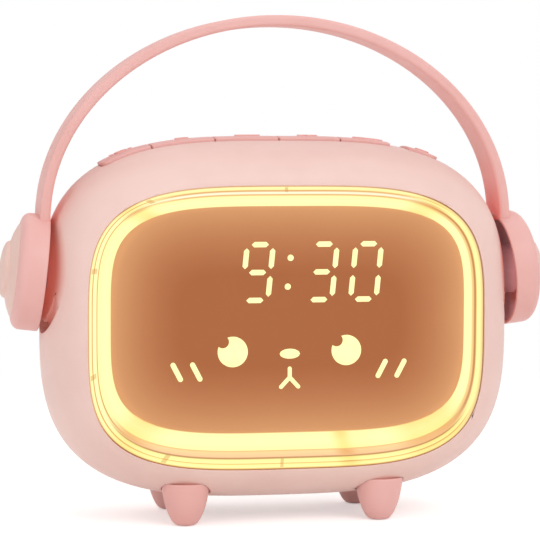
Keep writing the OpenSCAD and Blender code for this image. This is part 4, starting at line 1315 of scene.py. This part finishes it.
class CLOCK_OT_stage(bpy.types.Operator):
    """Lays the floor, and sets the lamps, the surroundings and the camera"""

    bl_idname = "clock.stage"
    bl_label = "Stage"

    def execute(self, context):
        bpy.ops.object.select_all(action="DESELECT")
        bpy.ops.mesh.primitive_plane_add(size=FLOOR_SIZE)
        floor = begin("floor_sweep")
        back = max(vertex.co.y for vertex in floor.data.vertices)
        for edge in floor.data.edges:
            edge.select = all(floor.data.vertices[v].co.y > back - 0.01 for v in edge.vertices)
        for vertex in floor.data.vertices:
            vertex.select = vertex.co.y > back - 0.01
        for face in floor.data.polygons:
            face.select = False
        bpy.ops.object.mode_set(mode="EDIT")
        bpy.ops.mesh.extrude_region_move(TRANSFORM_OT_translate={"value": (0, 0, FLOOR_RISE)})
        bpy.ops.object.mode_set(mode="OBJECT")
        modify(floor, "BEVEL", width=FLOOR_CURVE, segments=24)
        bpy.ops.object.shade_smooth()
        floor.data.materials.append(floor_finish())

        for lamp in LAMPS:
            soft_light(*lamp)

        world = context.scene.world or bpy.data.worlds.new("surroundings")
        context.scene.world = world
        world.use_nodes = True
        world.node_tree.nodes.clear()
        sky = Nodes(world.node_tree)
        level = sky.spread(sky.seen(), SKY_LIGHT, SKY_SEEN, 0, 1)
        white = sky.add("Background", {"Color": (1, 1, 1, 1), "Strength": level})
        sky.add("OutputWorld", {"Surface": white.outputs["Background"]})
        context.scene.view_settings.view_transform = "Standard"

        forward = (CAMERA_AIM - CAMERA_PLACE).normalized()
        level_right = forward.cross(Vector((0, 0, 1))).normalized()
        level_up = level_right.cross(forward)
        right = level_right * math.cos(CAMERA_ROLL) + level_up * math.sin(CAMERA_ROLL)
        up = level_up * math.cos(CAMERA_ROLL) - level_right * math.sin(CAMERA_ROLL)
        bpy.ops.object.camera_add()
        camera = bpy.context.object
        camera.name = "camera"
        camera.data.lens, camera.data.sensor_width = CAMERA_LENS, 36
        camera.data.clip_start, camera.data.clip_end = 0.01, 20
        pose = Matrix((right, up, -forward)).transposed().to_4x4()
        pose.translation = CAMERA_PLACE
        camera.matrix_world = pose
        context.scene.camera = camera
        return {"FINISHED"}


class CLOCK_PT_panel(bpy.types.Panel):
    """Lists the pieces and their sizes"""

    bl_idname = "CLOCK_PT_panel"
    bl_label = "Bedside Clock"
    bl_space_type = "VIEW_3D"
    bl_region_type = "UI"
    bl_category = "Clock"

    def draw(self, context):
        for operator in OPERATORS:
            self.layout.operator(operator.bl_idname)
        for name in GROUPS:
            group = getattr(context.scene, name)
            box = self.layout.box()
            for prop in group.__annotations__:
                box.prop(group, prop)


GROUPS = {
    "clock_housing": HousingSizes,
    "clock_ring": RingSizes,
    "clock_keys": KeySizes,
    "clock_handle": HandleSizes,
    "clock_cups": CupSizes,
    "clock_colours": FinishColours,
}
OPERATORS = [
    CLOCK_OT_front_shell,
    CLOCK_OT_rear_cover,
    CLOCK_OT_feet,
    CLOCK_OT_light_ring,
    CLOCK_OT_display,
    CLOCK_OT_keys,
    CLOCK_OT_handle_band,
    CLOCK_OT_ear_cups,
    CLOCK_OT_ear_caps,
    CLOCK_OT_inner_parts,
    CLOCK_OT_stage,
]


def register():
    for item in (*GROUPS.values(), *OPERATORS, CLOCK_PT_panel):
        bpy.utils.register_class(item)
    for name, group in GROUPS.items():
        setattr(bpy.types.Scene, name, bpy.props.PointerProperty(type=group))


def unregister():
    for name in GROUPS:
        delattr(bpy.types.Scene, name)
    for item in (CLOCK_PT_panel, *reversed(OPERATORS), *GROUPS.values()):
        bpy.utils.unregister_class(item)


def main():
    register()
    bpy.ops.clock.front_shell()
    bpy.ops.clock.rear_cover()
    bpy.ops.clock.feet()
    bpy.ops.clock.light_ring()
    bpy.ops.clock.display()
    bpy.ops.clock.keys()
    bpy.ops.clock.handle_band()
    bpy.ops.clock.ear_cups()
    bpy.ops.clock.ear_caps()
    bpy.ops.clock.inner_parts()
    bpy.ops.clock.stage()
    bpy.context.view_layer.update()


if __name__ == "__main__":
    main()
